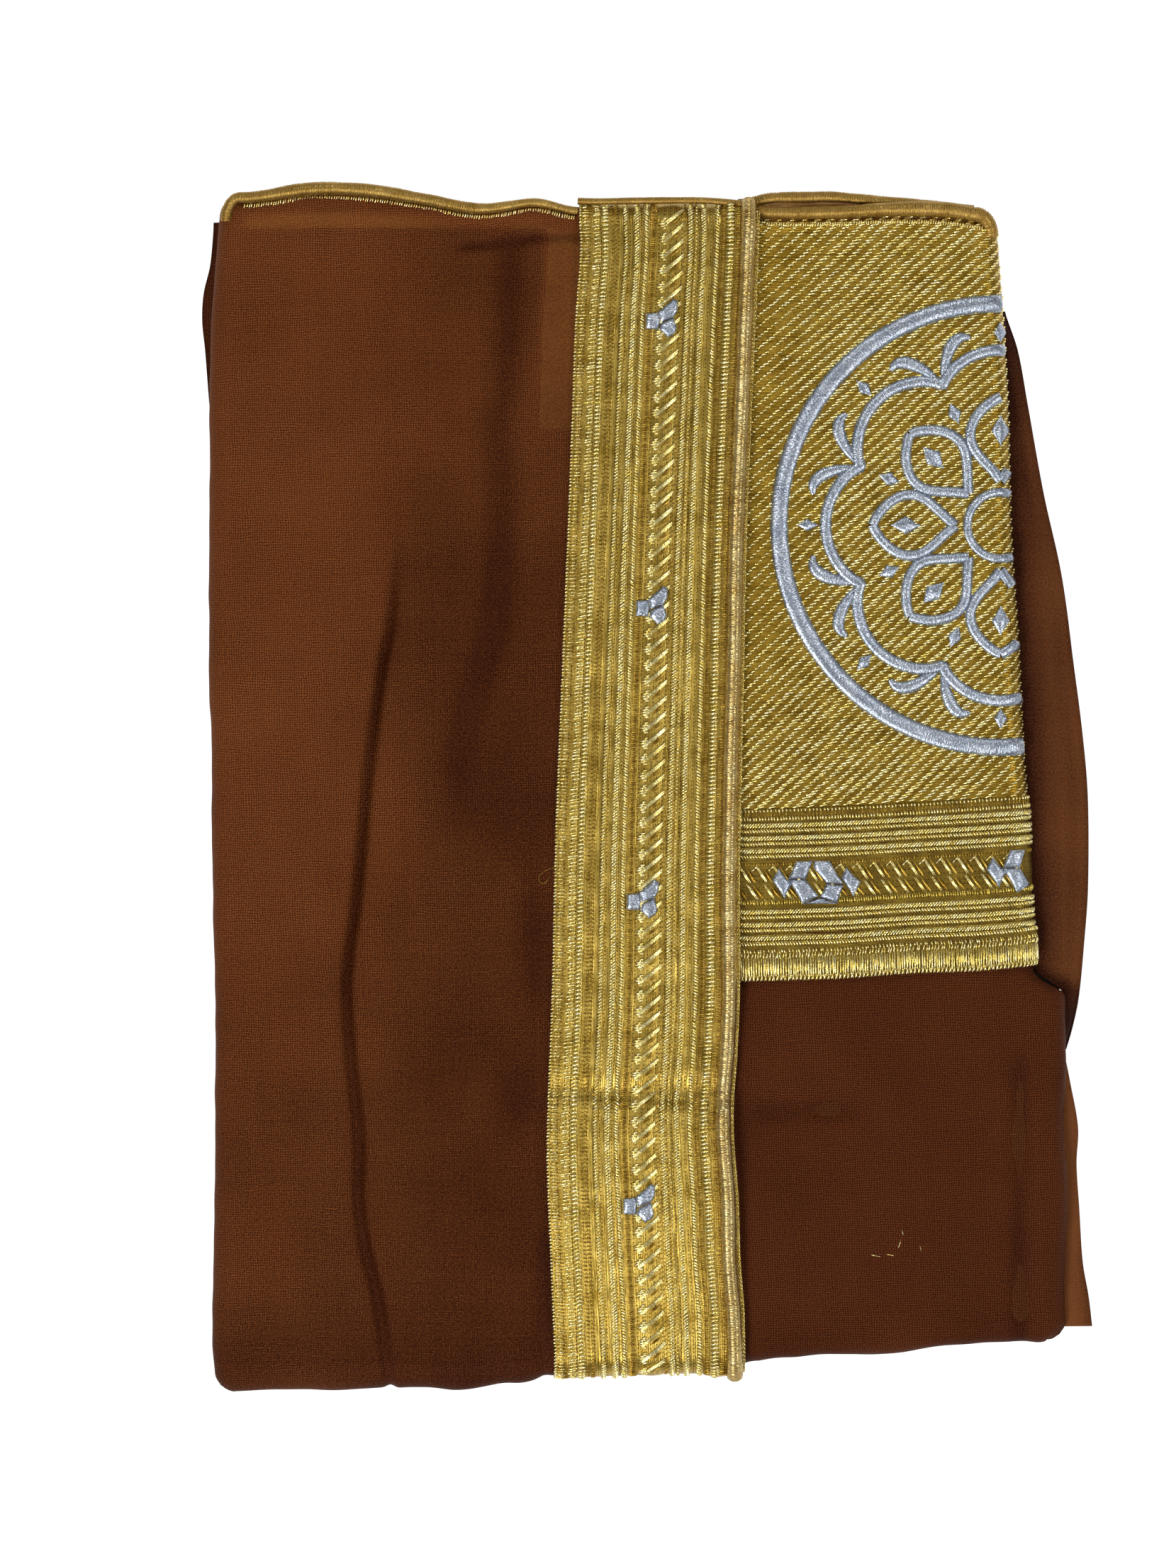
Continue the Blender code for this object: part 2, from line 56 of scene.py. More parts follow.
# Lengths up the band between which it lies flat
BAND_FLAT = (-187.0, 185.0)
# Height of the gold trim that shows through the front near its top
TRIM_BELOW = 187.2

# Edges of the pieces as seen from above: ("y", "x")
LEFT_EDGE = (
    (200, -140), (190, -140.8), (176, -141.8), (148, -143.4), (85, -144.8),
    (40, -144.8), (10, -143.3), (-42, -143.3), (-75, -142.5), (-150, -142.9),
    (-183, -143.4), (-193, -142.6), (-200, -141.5),
)
YOKE_FOLD = (
    (200, 115.2), (183, 115.8), (162, 117.8), (143, 119), (83, 120.7),
    (58, 122.1), (29, 124.2), (-2.5, 126), (-29, 127), (-70, 129.3),
)
RIGHT_EDGE = (
    (-40, 128), (-58, 130), (-66, 137.5), (-73, 138.8), (-115, 138.6),
    (-143, 139), (-170, 138.7), (-200, 138.5),
)
BAND_LEFT = (
    (200, -22), (192, -22.5), (178, -21.8), (155, -23.4), (108, -25.1),
    (55, -27.2), (-15, -30), (-68, -31.2), (-105, -32.6), (-126, -32.8),
    (-150, -31.9), (-200, -29.8),
)
BAND_RIGHT = (
    (200, 37.6), (183, 37), (88, 33), (26, 31.6), (-30, 30.5),
    (-66, 30.5), (-86, 29.8), (-105, 28.5), (-115, 28.5), (-135, 30),
    (-155, 30.7), (-175, 32.1), (-200, 32.3),
)
SIDE_FOLD_EDGE = (
    (160, 118.6), (157, 119.2), (145, 123.2), (127, 126.5), (98, 131.7),
    (70, 137.8), (42, 141.6), (14, 145.1), (-5, 146.5), (-33, 146.5),
    (-51, 145.3), (-70, 143.4), (-80, 141.3), (-88, 139),
)
UNDER_FOLD_EDGE = (
    (-88, 138.6), (-98, 140.6), (-113, 143.2), (-125, 142.7), (-140, 143.6),
    (-158, 144.8), (-169, 146.7), (-179, 147.9),
)
UNDER_LAYER_EDGE = (
    (187.6, -144), (183, -144.2), (173, -145.2), (164, -147.3), (155, -147.8),
    (145, -146.8), (136, -146.1), (127, -145.4), (118, -144.4),
)

# The shoulder line, the bottom fold and the border's edges: ("x", "y")
SHOULDER_LINE = (
    (-145, 197), (-139, 197.3), (-130, 197.4), (-111, 199.9), (-92, 199.4),
    (-73, 196.5), (-55, 193.6), (-36, 196), (-22, 194.6), (0, 194.8),
    (20, 194.8), (40, 193), (61, 193), (80, 193.9), (99, 193.6),
    (109, 192.2), (120, 190.5),
)
BOTTOM_LINE = (
    (-145, -199.8), (-110, -199.4), (-83, -197.9), (-73, -198.1), (-64, -199.6),
    (-54, -198.1), (-45, -196.7), (-30, -197.2), (0, -196.2), (28, -194.9),
    (36, -190.6), (50, -189.2), (80, -187.6), (109, -184.9), (129, -183.9),
    (148, -181.5),
)
BORDER_TOP = ((20.0, -7.9), (70.5, -6.2), (130.0, -2.7))
BORDER_BOTTOM = ((20.0, -63.8), (62.0, -62.7), (87.0, -61.0), (112.0, -60.0), (140.0, -57.0))
CROWN = (
    (-150, 18.6), (-120, 19.4), (-70, 19.9), (-20, 19.4), (20, 17.6),
    (60, 15.4), (100, 12.2), (125, 10), (150, 8.8),
)

# Folds in the front: ("y", "x") of each line
MAIN_CREASE = (
    (100, -83.5), (77, -84), (54, -85.1), (42, -87.4), (7, -92.1), (-37, -96.1),
    (-55, -98.6), (-68, -99.4), (-91, -97.9), (-115, -95.4), (-136, -95.4),
    (-152, -93.3), (-169, -89), (-200, -85),
)
SIDE_TROUGH = (
    (180, -45), (136, -46.4), (117, -49.5), (104, -47.8), (56, -49.9),
    (31, -56.9), (7, -62.5), (-30, -61),
)


# Shape

def curve(rows):
    """Smooth function through a table of two columns."""
    places, values = np.array(sorted(rows), float).T
    slopes = np.diff(values) / np.diff(places)
    between = (values[2:] - values[:-2]) / (places[2:] - places[:-2])
    slopes = np.concatenate([slopes[:1], between, slopes[-1:]])

    def value(at):
        at = np.clip(np.asarray(at, float), places[0], places[-1])
        index = np.clip(np.searchsorted(places, at, side="right") - 1, 0, len(rows) - 2)
        width = places[index + 1] - places[index]
        share = (at - places[index]) / width
        square, cube = share ** 2, share ** 3
        return (
            (2 * cube - 3 * square + 1) * values[index]
            + (cube - 2 * square + share) * slopes[index] * width
            + (3 * square - 2 * cube) * values[index + 1]
            + (cube - square) * slopes[index + 1] * width
        )
    return value


def straight(place):
    """An edge that stays at one place, or a cord of one radius."""
    return lambda at: place + 0 * at


left_edge = curve(LEFT_EDGE)
yoke_fold = curve(YOKE_FOLD)
right_edge = curve(RIGHT_EDGE)
band_left = curve(BAND_LEFT)
band_right = curve(BAND_RIGHT)
shoulder_line = curve(SHOULDER_LINE)
bottom_line = curve(BOTTOM_LINE)
border_top = curve(BORDER_TOP)
border_bottom = curve(BORDER_BOTTOM)
crown_line = curve(CROWN)
main_crease = curve(MAIN_CREASE)
side_trough = curve(SIDE_TROUGH)


def step(low, high, at):
    """0 below low, 1 above high and a smooth rise between them."""
    share = np.clip((np.asarray(at, float) - low) / (high - low), 0.0, 1.0)
    return share * share * (3 - 2 * share)
def within(at, low, low_end, high, high_end):
    """1 between two smooth edges and 0 outside them."""
    return step(low, low_end, at) * (1 - step(high, high_end, at))


def hump(at, middle, width):
    """Smooth bump of height one."""
    return np.exp(-((at - middle) / width) ** 2)


def dents(x, y, rows):
    """Round bumps: ("size", "x", "half width", "y", "half height")."""
    return sum(size * hump(x, at_x, wide) * hump(y, at_y, high) for size, at_x, wide, at_y, high in rows)


def ripple(x, y, length, seed):
    """Gentle unevenness of about one unit, with bumps of about the given length."""
    dice = np.random.default_rng(seed)
    total = 0.0
    for _ in range(9):
        angle = dice.uniform(0, 2 * pi)
        wave = length * dice.uniform(0.7, 1.6)
        along = x * cos(angle) + y * sin(angle)
        total = total + np.sin(2 * pi * along / wave + dice.uniform(0, 6.3))
    return total / 3.0


def spine_left(y):
    return left_edge(y) + FOLD_RADIUS + PANEL_TOP


def spine_yoke(y):
    return yoke_fold(y) - FOLD_RADIUS - PANEL_TOP


def spine_right(y):
    lower = step(-60.5, -69.0, y)
    return (1 - lower) * yoke_fold(y) + lower * right_edge(y) - FOLD_RADIUS - PANEL_TOP


def spine_top(x):
    return shoulder_line(x) - 8.4 - 1.4 * step(-40, -24, x)


def spine_bottom(x):
    return bottom_line(x) + 7.0 + 2.6 * within(x, -44, -30, 28, 38)


def crown(x, y):
    return crown_line(x) - 1.2 * step(150, 190, y) - 1.6 * step(-140, -190, y)


def laid(x, y, rise, right=spine_right, furthest=86.0):
    """Place on the pack for lengths of cloth across and up it, rolled round the four folds."""
    x, y, rise = np.broadcast_arrays(np.asarray(x, float), np.asarray(y, float), rise)
    flat_y = y
    for _ in range(3):
        flat_x = np.clip(x, spine_left(flat_y), right(flat_y))
        flat_y = np.clip(y, spine_bottom(flat_x), spine_top(flat_x))
    radius = FOLD_RADIUS + rise
    most = radians(furthest)
    turn_x, turn_y = (x - flat_x) / radius, (y - flat_y) / radius
    drop = radius * (np.maximum(abs(turn_x) - most, 0) + np.maximum(abs(turn_y) - most, 0))
    lean_x, lean_y = np.tan(np.clip(turn_x, -most, most)), np.tan(np.clip(turn_y, -most, most))
    size = np.sqrt(lean_x ** 2 + lean_y ** 2 + 1)
    return np.stack([
        flat_x + lean_x / size * radius,
        flat_y + lean_y / size * radius,
        crown(flat_x, flat_y) - FOLD_RADIUS + radius / size - drop,
    ], axis=-1)


def front_lift(x, y):
    """Rise of the front's edge over the pieces beside it."""
    return step(-14.5, -9.5, x - band_right(y)) * (1.7 + 1.2 * within(y, -46, -52, -66, -84))


def crease_length(y):
    """1 where the front's main crease is deep."""
    return step(84, 40, y) * (1 - 0.6 * step(-168, -196, y))


def front_rise(x, y):
    """Height of the front's cloth over the layers below: its creases and troughs."""
    crease, trough = x - main_crease(y), x - side_trough(y)
    pleat = y - (178.5 + 3.0 * step(-64, -34, x))
    pull = y - (153.5 + 0.13 * (x + 130))
    ridge = step(0.0, 3.6, crease) * np.exp(-np.maximum(crease - 3.6, 0) / 16.0)
    banks = hump(trough, 12, 6.0) + hump(trough, -12, 7.0)
    folds = (1.5 * ridge - 1.9 * hump(crease, 0, 1.5)) * crease_length(y)
    folds = folds + 0.9 * hump(crease, -5.5, 5.0) * within(y, 100, 50, -150, -190)
    folds = folds - 1.3 * hump(trough, 0, 5.0) * within(y, -20, 25, 176, 188)
    folds = folds + 0.8 * banks * within(y, -45, 5, 160, 184)
    folds = folds + (0.7 * hump(pleat, 2.2, 2.2) - 1.1 * hump(pleat, 0, 1.3)) * within(x, -66, -58, -30, -24)
    folds = folds + (0.45 * hump(pull, 2.5, 2.4) - 0.5 * hump(pull, 0, 2.0)) * within(x, -142, -132, -108, -92)
    folds = folds + dents(x, y, ((-0.9, -44, 16, 2, 26), (-1, -37, 5.5, -48, 26), (-0.9, -43, 8, -102, 14)))
    folds = folds - 1.2 * hump(x - band_left(y), -3.0, 2.6) * step(-142, -156, y)
    folds = folds + 0.42 * ripple(x, y * 0.55, 42, 3) + 0.13 * ripple(x, y, 13, 4)
    free = step(0, 7, band_left(y) - x)
    return np.maximum(PANEL_TOP + 0.5 + folds * free, 0.95) + front_lift(x, y)


def front_painted_shading(x, y):
    """Painted shading on the front, from -0.6 to 1: darker in its creases, hollows, pleat and beside the band, to the
    right and towards the bottom.
    """
    crease, beside_band = x - main_crease(y), x - band_left(y)
    # Painted shade: darker colour in the creases, troughs, hollows and pleat, and in a strip beside the band
    near = 0.9 * hump(crease, 0.4, 1.9) * crease_length(y)
    bank = 0.4 * np.exp(-np.maximum(crease, 0) / 14.0) * step(-1, 1, crease)
    near = near + bank * within(y, 84, 72, 56, 20)
    near = near + 0.55 * hump(x - side_trough(y), 0, 5.2) * within(y, -20, 25, 176, 186)
    near = near + 0.35 * step(-98, -60, x) * within(y, -60, 10, 60, 110)
    near = near + dents(x, y, ((0.22, -44, 17, 2, 30), (0.5, -37, 5.5, -48, 28), (0.5, -43, 8, -102, 14)))
    near = near + 0.8 * hump(beside_band, -2.0, 2.4) * step(-142, -156, y)
    near = near + 0.85 * hump(y - 3.0 * step(-64, -34, x), 178.0, 1.5) * step(-66, -58, x)
    # Painted shade: darker towards the right and towards the bottom, where less light falls
    near = near + 0.36 * step(-125, -60, x) + 0.42 * step(0, -110, y) + 0.35 * step(-160, -192, y) - 0.08
    # Painted light: lighter colour where the gold trims of the layer below shine through
    trim = np.exp(-((y - TRIM_BELOW) / 2.6) ** 4) * within(x, -136, -130, -34, -30)
    strip = step(-13.5, -11, beside_band) * step(120, 165, y)
    near = near - 0.6 * np.maximum(trim, 0.8 * strip)
    return np.clip(near + 0.07 * ripple(x, y, 50, 5), -0.6, 1)

# Making meshes

def add_item(name, data):
    """Object in the scene for a mesh, a lamp or a camera."""
    item = bpy.data.objects.new(name, data)
    bpy.context.scene.collection.objects.link(item)
    return item


def add_object(name, vertices, faces, material, uv=None, smooth=True):
    """Mesh object from millimetre points, with its map of cloth lengths in metres."""
    mesh = bpy.data.meshes.new(name)
    points = np.asarray(vertices, float).reshape(-1, 3) * MM
    mesh.from_pydata(points.tolist(), [], faces)
    if uv is not None:
        layer = mesh.uv_layers.new(name="cloth")
        corners = np.empty(len(mesh.loops), int)
        mesh.loops.foreach_get("vertex_index", corners)
        layer.data.foreach_set("uv", (np.asarray(uv).reshape(-1, 2)[corners] * MM).ravel())
    mesh.materials.append(material)
    if smooth:
        mesh.shade_smooth()
    mesh.update()
    return add_item(name, mesh)


def grid_faces(rows, columns, closed=False):
    """Four-cornered faces between the rows and columns of a grid of points."""
    faces = []
    for base in range(0, (rows - 1) * columns, columns):
        for column in range(columns if closed else columns - 1):
            after = (column + 1) % columns
            faces.append((base + column, base + after, base + columns + after, base + columns + column))
    return faces


def add_sheet(name, points, uv, material):
    """Surface through a grid of points, facing up."""
    return add_object(name, points, grid_faces(*points.shape[:2]), material, uv)


def face_out(item):
    """Turn all faces of a closed piece outwards."""
    work = bmesh.new()
    work.from_mesh(item.data)
    bmesh.ops.recalc_face_normals(work, faces=work.faces)
    work.to_mesh(item.data)
    work.free()
    return item


def unit(ways):
    """Directions made one unit long."""
    return ways / np.linalg.norm(ways, axis=-1)[..., None]


def run_along(points):
    """Length from a line's first point to each of its points."""
    return np.concatenate([[0], np.cumsum(np.linalg.norm(np.diff(points, axis=0), axis=1))])


def path_from(points, spacing):
    """Even steps along a polyline."""
    run = run_along(points)
    even = np.linspace(0, run[-1], int(run[-1] / spacing) + 1)
    return np.stack([np.interp(even, run, points[:, axis]) for axis in range(3)], axis=-1)


def add_tube(name, path, radius, material, sides):
    """Cord along a path; the radius may change along it and round it."""
    way = unit(np.gradient(path, axis=0))
    side = unit(np.cross(way, (0.0, 0.0, 1.0)))
    up = np.cross(side, way)
    angle = np.arange(sides) * 2 * pi / sides
    lengths = run_along(path)[:, None]
    radii = radius(lengths, angle[None, :]) * np.ones((len(path), sides))
    across = side[:, None] * np.cos(angle)[None, :, None] + up[:, None] * np.sin(angle)[None, :, None]
    points = path[:, None] + across * radii[:, :, None]
    uv = np.stack(np.broadcast_arrays(angle[None, :] * 2.0, lengths), axis=-1)
    last = (len(path) - 1) * sides
    faces = grid_faces(len(path), sides, closed=True)
    faces += [tuple(range(sides - 1, -1, -1)), tuple(range(last, last + sides))]
    return face_out(add_object(name, points, faces, material, uv))


# Stitches: each tree sets one small arched thread on every seat

def thread_tree(name, material, sides):
    """Tree for a round arched thread with the given number of sides."""
    inputs = (("Seats", "Geometry", None), ("Arch", "Float", None), ("Girth", "Float", None), ("Seed", "Int", None))
    tree, given, result = new_group(name, inputs, (("Threads", "Geometry"),), "GeometryNodeTree")
    middle = put(tree, "ShaderNodeCombineXYZ", Z=given["Arch"])
    line = put(tree, "GeometryNodeCurveQuadraticBezier", Resolution=3, Middle=middle.outputs[0])
    feed(tree, line, {"Start": (-0.43, 0, 0), "End": (0.43, 0, 0)})
    ring = put(tree, "GeometryNodeCurvePrimitiveCircle", Resolution=sides, Radius=given["Girth"])
    # Thinner towards both ends: 1 - 0.6 * (2 * along - 1) ** 2
    along = put(tree, "GeometryNodeSplineParameter")
    off_middle = sums(tree, "MULTIPLY_ADD", along.outputs["Factor"], 2.0, -1.0)
    square = sums(tree, "MULTIPLY", off_middle, off_middle)
    sweep = put(tree, "GeometryNodeCurveToMesh", Curve=line.outputs[0], Scale=sums(tree, "MULTIPLY_ADD", square, -0.6, 1.0))
    feed(tree, sweep, {"Profile Curve": ring.outputs[0]})
    vector = {"data_type": "FLOAT_VECTOR"}
    turn = put(tree, "GeometryNodeInputNamedAttribute", vector, Name="turn")
    size = put(tree, "GeometryNodeInputNamedAttribute", vector, Name="size")
    turned = put(tree, "FunctionNodeEulerToRotation", i0=turn.outputs["Attribute"])
    set_on = put(tree, "GeometryNodeInstanceOnPoints", Points=given["Seats"], Instance=sweep.outputs[0])
    feed(tree, set_on, {"Rotation": turned.outputs[0], "Scale": size.outputs["Attribute"]})
    chance = put(tree, "FunctionNodeRandomValue", {"data_type": "FLOAT"}, Seed=given["Seed"])
    tone = put(tree, "GeometryNodeStoreNamedAttribute", {"domain": "INSTANCE", "data_type": "FLOAT"}, Name="tone")
    feed(tree, tone, {"Geometry": set_on.outputs[0], "Value": chance.outputs[1]})
    real = put(tree, "GeometryNodeRealizeInstances", i0=tone.outputs[0])
    smooth = put(tree, "GeometryNodeSetShadeSmooth", i0=real.outputs[0])
    finish = put(tree, "GeometryNodeSetMaterial", i0=smooth.outputs[0], Material=material)
    tree.links.new(finish.outputs[0], result[0])
    return tree


def set_threads(name, tree, seats, arch=0.55, seed=1):
    """Plain mesh of a thread on each seat: middle, way, normal and size arrays."""
    middle, way, normal, size = (np.concatenate(part) for part in zip(*seats))
    way = unit(way)
    side = unit(np.cross(normal, way))
    up = np.cross(way, side)
    turn = np.stack([
        np.arctan2(side[:, 2], up[:, 2]),
        -np.arcsin(np.clip(way[:, 2], -1, 1)),
        np.arctan2(way[:, 1], way[:, 0]),
    ], axis=1)
    mesh = bpy.data.meshes.new(name + "_seats")
    mesh.from_pydata((middle * MM).tolist(), [], [])
    for label, values in (("turn", turn), ("size", size * MM)):
        held = mesh.attributes.new(label, "FLOAT_VECTOR", "POINT")
        held.data.foreach_set("vector", values.astype(np.float32).ravel())
    seat_item = add_item(name + "_seats", mesh)
    modifier = seat_item.modifiers.new("threads", "NODES")
    modifier.node_group = tree
    values = {"Arch": arch, "Girth": 0.5, "Seed": seed}
    for socket in tree.interface.items_tree:
        if socket.in_out == "INPUT" and socket.name in values:
            modifier[socket.identifier] = values[socket.name]
    graph = bpy.context.evaluated_depsgraph_get()
    plain = bpy.data.meshes.new_from_object(seat_item.evaluated_get(graph))
    plain.name = name
    item = add_item(name, plain)
    bpy.data.objects.remove(seat_item, do_unlink=True)
    return item


def seats_on(surface, start, end, width, height, lift=0.0):
    """Seats for stitches from one place on a surface to another: (across, up) arrays."""
    across = (np.asarray(start[0]) + end[0]) / 2
    up = (np.asarray(start[1]) + end[1]) / 2
    middle = surface(across, up, lift)
    east = surface(across + surface.nudge, up, lift) - middle
    north = surface(across, up + 0.4, lift) - middle
    way = surface(*end, lift) - surface(*start, lift)
    length = np.linalg.norm(way, axis=-1)
    size = np.stack([length, width * np.ones_like(length), height * np.ones_like(length)], axis=-1)
    return middle, way, unit(np.cross(east, north)), size


# Node helpers

def feed(tree, node, values):
    """Set or link a node's inputs by name or number."""
    for key, value in values.items():
        if isinstance(value, bpy.types.NodeSocket):
            tree.links.new(value, node.inputs[key])
        else:
            node.inputs[key].default_value = value


def put(tree, kind, settings=None, **inputs):
    """Node with its settings, and its inputs by name, or by number as i0, i1 and on."""
    made = tree.nodes.new(kind)
    for key, value in (settings or {}).items():
        setattr(made, key, value)
    numbered = {int(key[1:]) if key[0] == "i" and key[1:].isdigit() else key: inputs[key] for key in inputs}
    feed(tree, made, numbered)
    return made


def sums(tree, operation, *terms):
    """Result of a Math node."""
    made = put(tree, "ShaderNodeMath", {"operation": operation})
    feed(tree, made, dict(enumerate(terms)))
    return made.outputs[0]


def blend_colours(tree, share, first, second):
    made = put(tree, "ShaderNodeMix", {"data_type": "RGBA"}, i0=share, i6=first, i7=second)
    return made.outputs[2]


def noise(tree, place, scale, detail):
    return put(tree, "ShaderNodeTexNoise", Vector=place, Scale=scale, Detail=detail).outputs[0]


def kept_number(tree, name):
    """Number that the mesh keeps under a name."""
    return put(tree, "ShaderNodeAttribute", {"attribute_name": name}).outputs["Fac"]


def fade(tree, value, near, far):
    """1 below near, 0 above far and a smooth fall between them."""
    smooth = {"interpolation_type": "SMOOTHSTEP"}
    return put(tree, "ShaderNodeMapRange", smooth, i0=value, i1=near, i2=far, i3=1.0, i4=0.0).outputs[0]


def new_group(name, inputs, outputs, kind="ShaderNodeTree"):
    """Node group with its inputs and outputs: ("name", "kind", default value)."""
    tree = bpy.data.node_groups.new(name, kind)
    for label, socket_kind, value in inputs:
        socket = tree.interface.new_socket(label, in_out="INPUT", socket_type="NodeSocket" + socket_kind)
        if value is not None:
            socket.default_value = value
    for label, socket_kind in outputs:
        tree.interface.new_socket(label, in_out="OUTPUT", socket_type="NodeSocket" + socket_kind)
    return tree, tree.nodes.new("NodeGroupInput").outputs, tree.nodes.new("NodeGroupOutput").inputs


def make_weave_group():
    """Open plain weave over a map in metres: where threads are, their height and their tone."""
    tree, given, result = new_group(
        "open_weave",
        (("Vector", "Vector", None), ("Pitch", "Float", 0.00077), ("Cover", "Float", 0.6)),
        (("Threads", "Float"), ("Height", "Float"), ("Tone", "Float")),
    )
    sway = put(tree, "ShaderNodeTexNoise", Vector=given["Vector"], Scale=110.0, Detail=4.0).outputs["Color"]
    bend = put(tree, "ShaderNodeVectorMath", {"operation": "SUBTRACT"}, i0=sway, i1=(0.5, 0.5, 0.5))
    slight = put(tree, "ShaderNodeVectorMath", {"operation": "SCALE"}, i0=bend.outputs[0], Scale=0.0024)
    moved = put(tree, "ShaderNodeVectorMath", {"operation": "ADD"}, i0=given["Vector"], i1=slight.outputs[0])
    parts = put(tree, "ShaderNodeSeparateXYZ", i0=moved.outputs[0])
    half = sums(tree, "MULTIPLY", given["Cover"], 0.5)
    masks, tones, waves = [], [], []
    for axis, shift in ((0, 0.0), (1, 0.37)):
        count = sums(tree, "DIVIDE", parts.outputs[axis], given["Pitch"])
        off = sums(tree, "ABSOLUTE", sums(tree, "SUBTRACT", sums(tree, "FRACT", count), 0.5))
        masks.append(fade(tree, off, sums(tree, "SUBTRACT", half, 0.07), sums(tree, "ADD", half, 0.07)))
        waves.append(sums(tree, "COSINE", sums(tree, "MULTIPLY", count, pi)))
        index = sums(tree, "ADD", sums(tree, "FLOOR", count), shift)
        chance = put(tree, "ShaderNodeTexWhiteNoise", {"noise_dimensions": "1D"}, W=index)
        tones.append(sums(tree, "MULTIPLY", chance.outputs[0], masks[axis]))
    over = sums(tree, "MULTIPLY", *waves)
    high = sums(tree, "MULTIPLY", masks[0], sums(tree, "MULTIPLY_ADD", over, 0.35, 0.65))
    low = sums(tree, "MULTIPLY", masks[1], sums(tree, "MULTIPLY_ADD", over, -0.35, 0.65))
    tree.links.new(sums(tree, "MAXIMUM", high, low), result["Height"])
    tree.links.new(sums(tree, "MAXIMUM", *masks), result["Threads"])
    tree.links.new(sums(tree, "MULTIPLY", sums(tree, "ADD", *tones), 0.5), result["Tone"])
    return tree


def make_satin_group():
    """Fine parallel threads along the map's first direction, uneven as hand-laid metal thread."""
    tree, given, result = new_group(
        "satin_threads",
        (("Vector", "Vector", None), ("Pitch", "Float", 0.0004)),
        (("Height", "Float"), ("Tone", "Float")),
    )
    parts = put(tree, "ShaderNodeSeparateXYZ", i0=given["Vector"]).outputs
    stretched = put(tree, "ShaderNodeCombineXYZ", i0=sums(tree, "MULTIPLY", parts[0], 0.12), i1=parts[1])
    uneven = noise(tree, stretched.outputs[0], 900.0, 2.0)
    count = sums(tree, "MULTIPLY_ADD", uneven, 1.6, sums(tree, "DIVIDE", parts[1], given["Pitch"]))
    wave = sums(tree, "ABSOLUTE", sums(tree, "SINE", sums(tree, "MULTIPLY", count, pi)))
    height = sums(tree, "MULTIPLY", wave, sums(tree, "MULTIPLY_ADD", uneven, 0.6, 0.6))
    tree.links.new(height, result["Height"])
    tree.links.new(uneven, result["Tone"])
    return tree


def make_holes_group():
    """Rows of small needle holes over a map in metres."""
    tree, given, result = new_group(
        "needle_holes",
        (("Vector", "Vector", None), ("Along", "Float", 0.0013), ("Across", "Float", 0.0019)),
        (("Hole", "Float"),),
    )
    parts = put(tree, "ShaderNodeSeparateXYZ", i0=given["Vector"])
    offsets = []
    for axis, pitch in ((0, given["Along"]), (1, given["Across"])):
        share = sums(tree, "FRACT", sums(tree, "DIVIDE", parts.outputs[axis], pitch))
        offsets.append(sums(tree, "MULTIPLY", sums(tree, "SUBTRACT", share, 0.5), pitch))
    near = put(tree, "ShaderNodeCombineXYZ", i0=offsets[0], i1=offsets[1])
    reach = put(tree, "ShaderNodeVectorMath", {"operation": "LENGTH"}, i0=near.outputs[0])
    tree.links.new(fade(tree, reach.outputs["Value"], 0.00012, 0.0003), result["Hole"])
    return tree


weave = make_weave_group()
satin = make_satin_group()
holes = make_holes_group()


def start_material(name):
    made = bpy.data.materials.new(name)
    made.use_nodes = True
    return made, made.node_tree, made.node_tree.nodes["Principled BSDF"]


def end_material(tree, shader, raised, depth, strength, values):
    """Give the shader its relief and its other values."""
    bump = put(tree, "ShaderNodeBump", Height=raised, Distance=depth, Strength=strength)
    feed(tree, shader, {"Normal": bump.outputs[0], **values})


def voile(name, dark, light, hole_colour, cover, pitch=0.00077):
    """Brown voile: thread colours with painted highlight and shading, and a painted colour for what shows between
    them, or else open holes.
    """
    made, tree, shader = start_material(name)
    place = put(tree, "ShaderNodeUVMap", {"uv_map": "cloth"}).outputs[0]
    cloth = put(tree, "ShaderNodeGroup", {"node_tree": weave}, Vector=place, Pitch=pitch, Cover=cover).outputs
    # Painted highlight and shade: the threads are lighter on their crowns and darker down their sides
    light_share = sums(tree, "MULTIPLY_ADD", cloth["Tone"], 0.12, 1.25)
    mixed = sums(tree, "SUBTRACT", sums(tree, "MULTIPLY", cloth["Height"], light_share), 1.06)
    mixed = sums(tree, "MULTIPLY_ADD", noise(tree, place, 1500.0, 2.0), 1.1, mixed)
    mixed = sums(tree, "MULTIPLY_ADD", noise(tree, place, 28.0, 3.0), 0.3, mixed)
    # Painted shading kept on the mesh darkens the colour, and lightens it where negative
    mixed = sums(tree, "MULTIPLY_ADD", kept_number(tree, "painted_shading"), -0.42, mixed)
    colour = blend_colours(tree, mixed, (*dark, 1), (*light, 1))
    values = {"Roughness": 0.6, "Specular IOR Level": 0.05}
    if hole_colour is None:
        values["Alpha"] = sums(tree, "MAXIMUM", cloth["Threads"], kept_number(tree, "doubled"))
    else:
        # Painted shade: the gaps between the threads get a dark colour in place of the shaded layers below
        colour = blend_colours(tree, cloth["Threads"], (*hole_colour, 1), colour)
    values["Base Color"] = colour
    end_material(tree, shader, cloth["Height"], 0.00025, 0.8, values)
    return made


def metal_thread(name, dark, light, rough):
    """Metal thread whose tone changes from stitch to stitch."""
    made, tree, shader = start_material(name)
    worn = noise(tree, put(tree, "ShaderNodeTexCoord").outputs["Object"], 1600.0, 2.0)
    share = sums(tree, "MULTIPLY_ADD", worn, 1.3, -0.5)
    share = sums(tree, "MULTIPLY_ADD", kept_number(tree, "tone"), 0.6, share)
    end_material(tree, shader, worn, 0.00012, 0.8, {
        "Base Color": blend_colours(tree, share, (*dark, 1), (*light, 1)),
        "Roughness": sums(tree, "MULTIPLY_ADD", worn, 0.3, rough - 0.15),
        "Metallic": 0.95,
    })
    return made


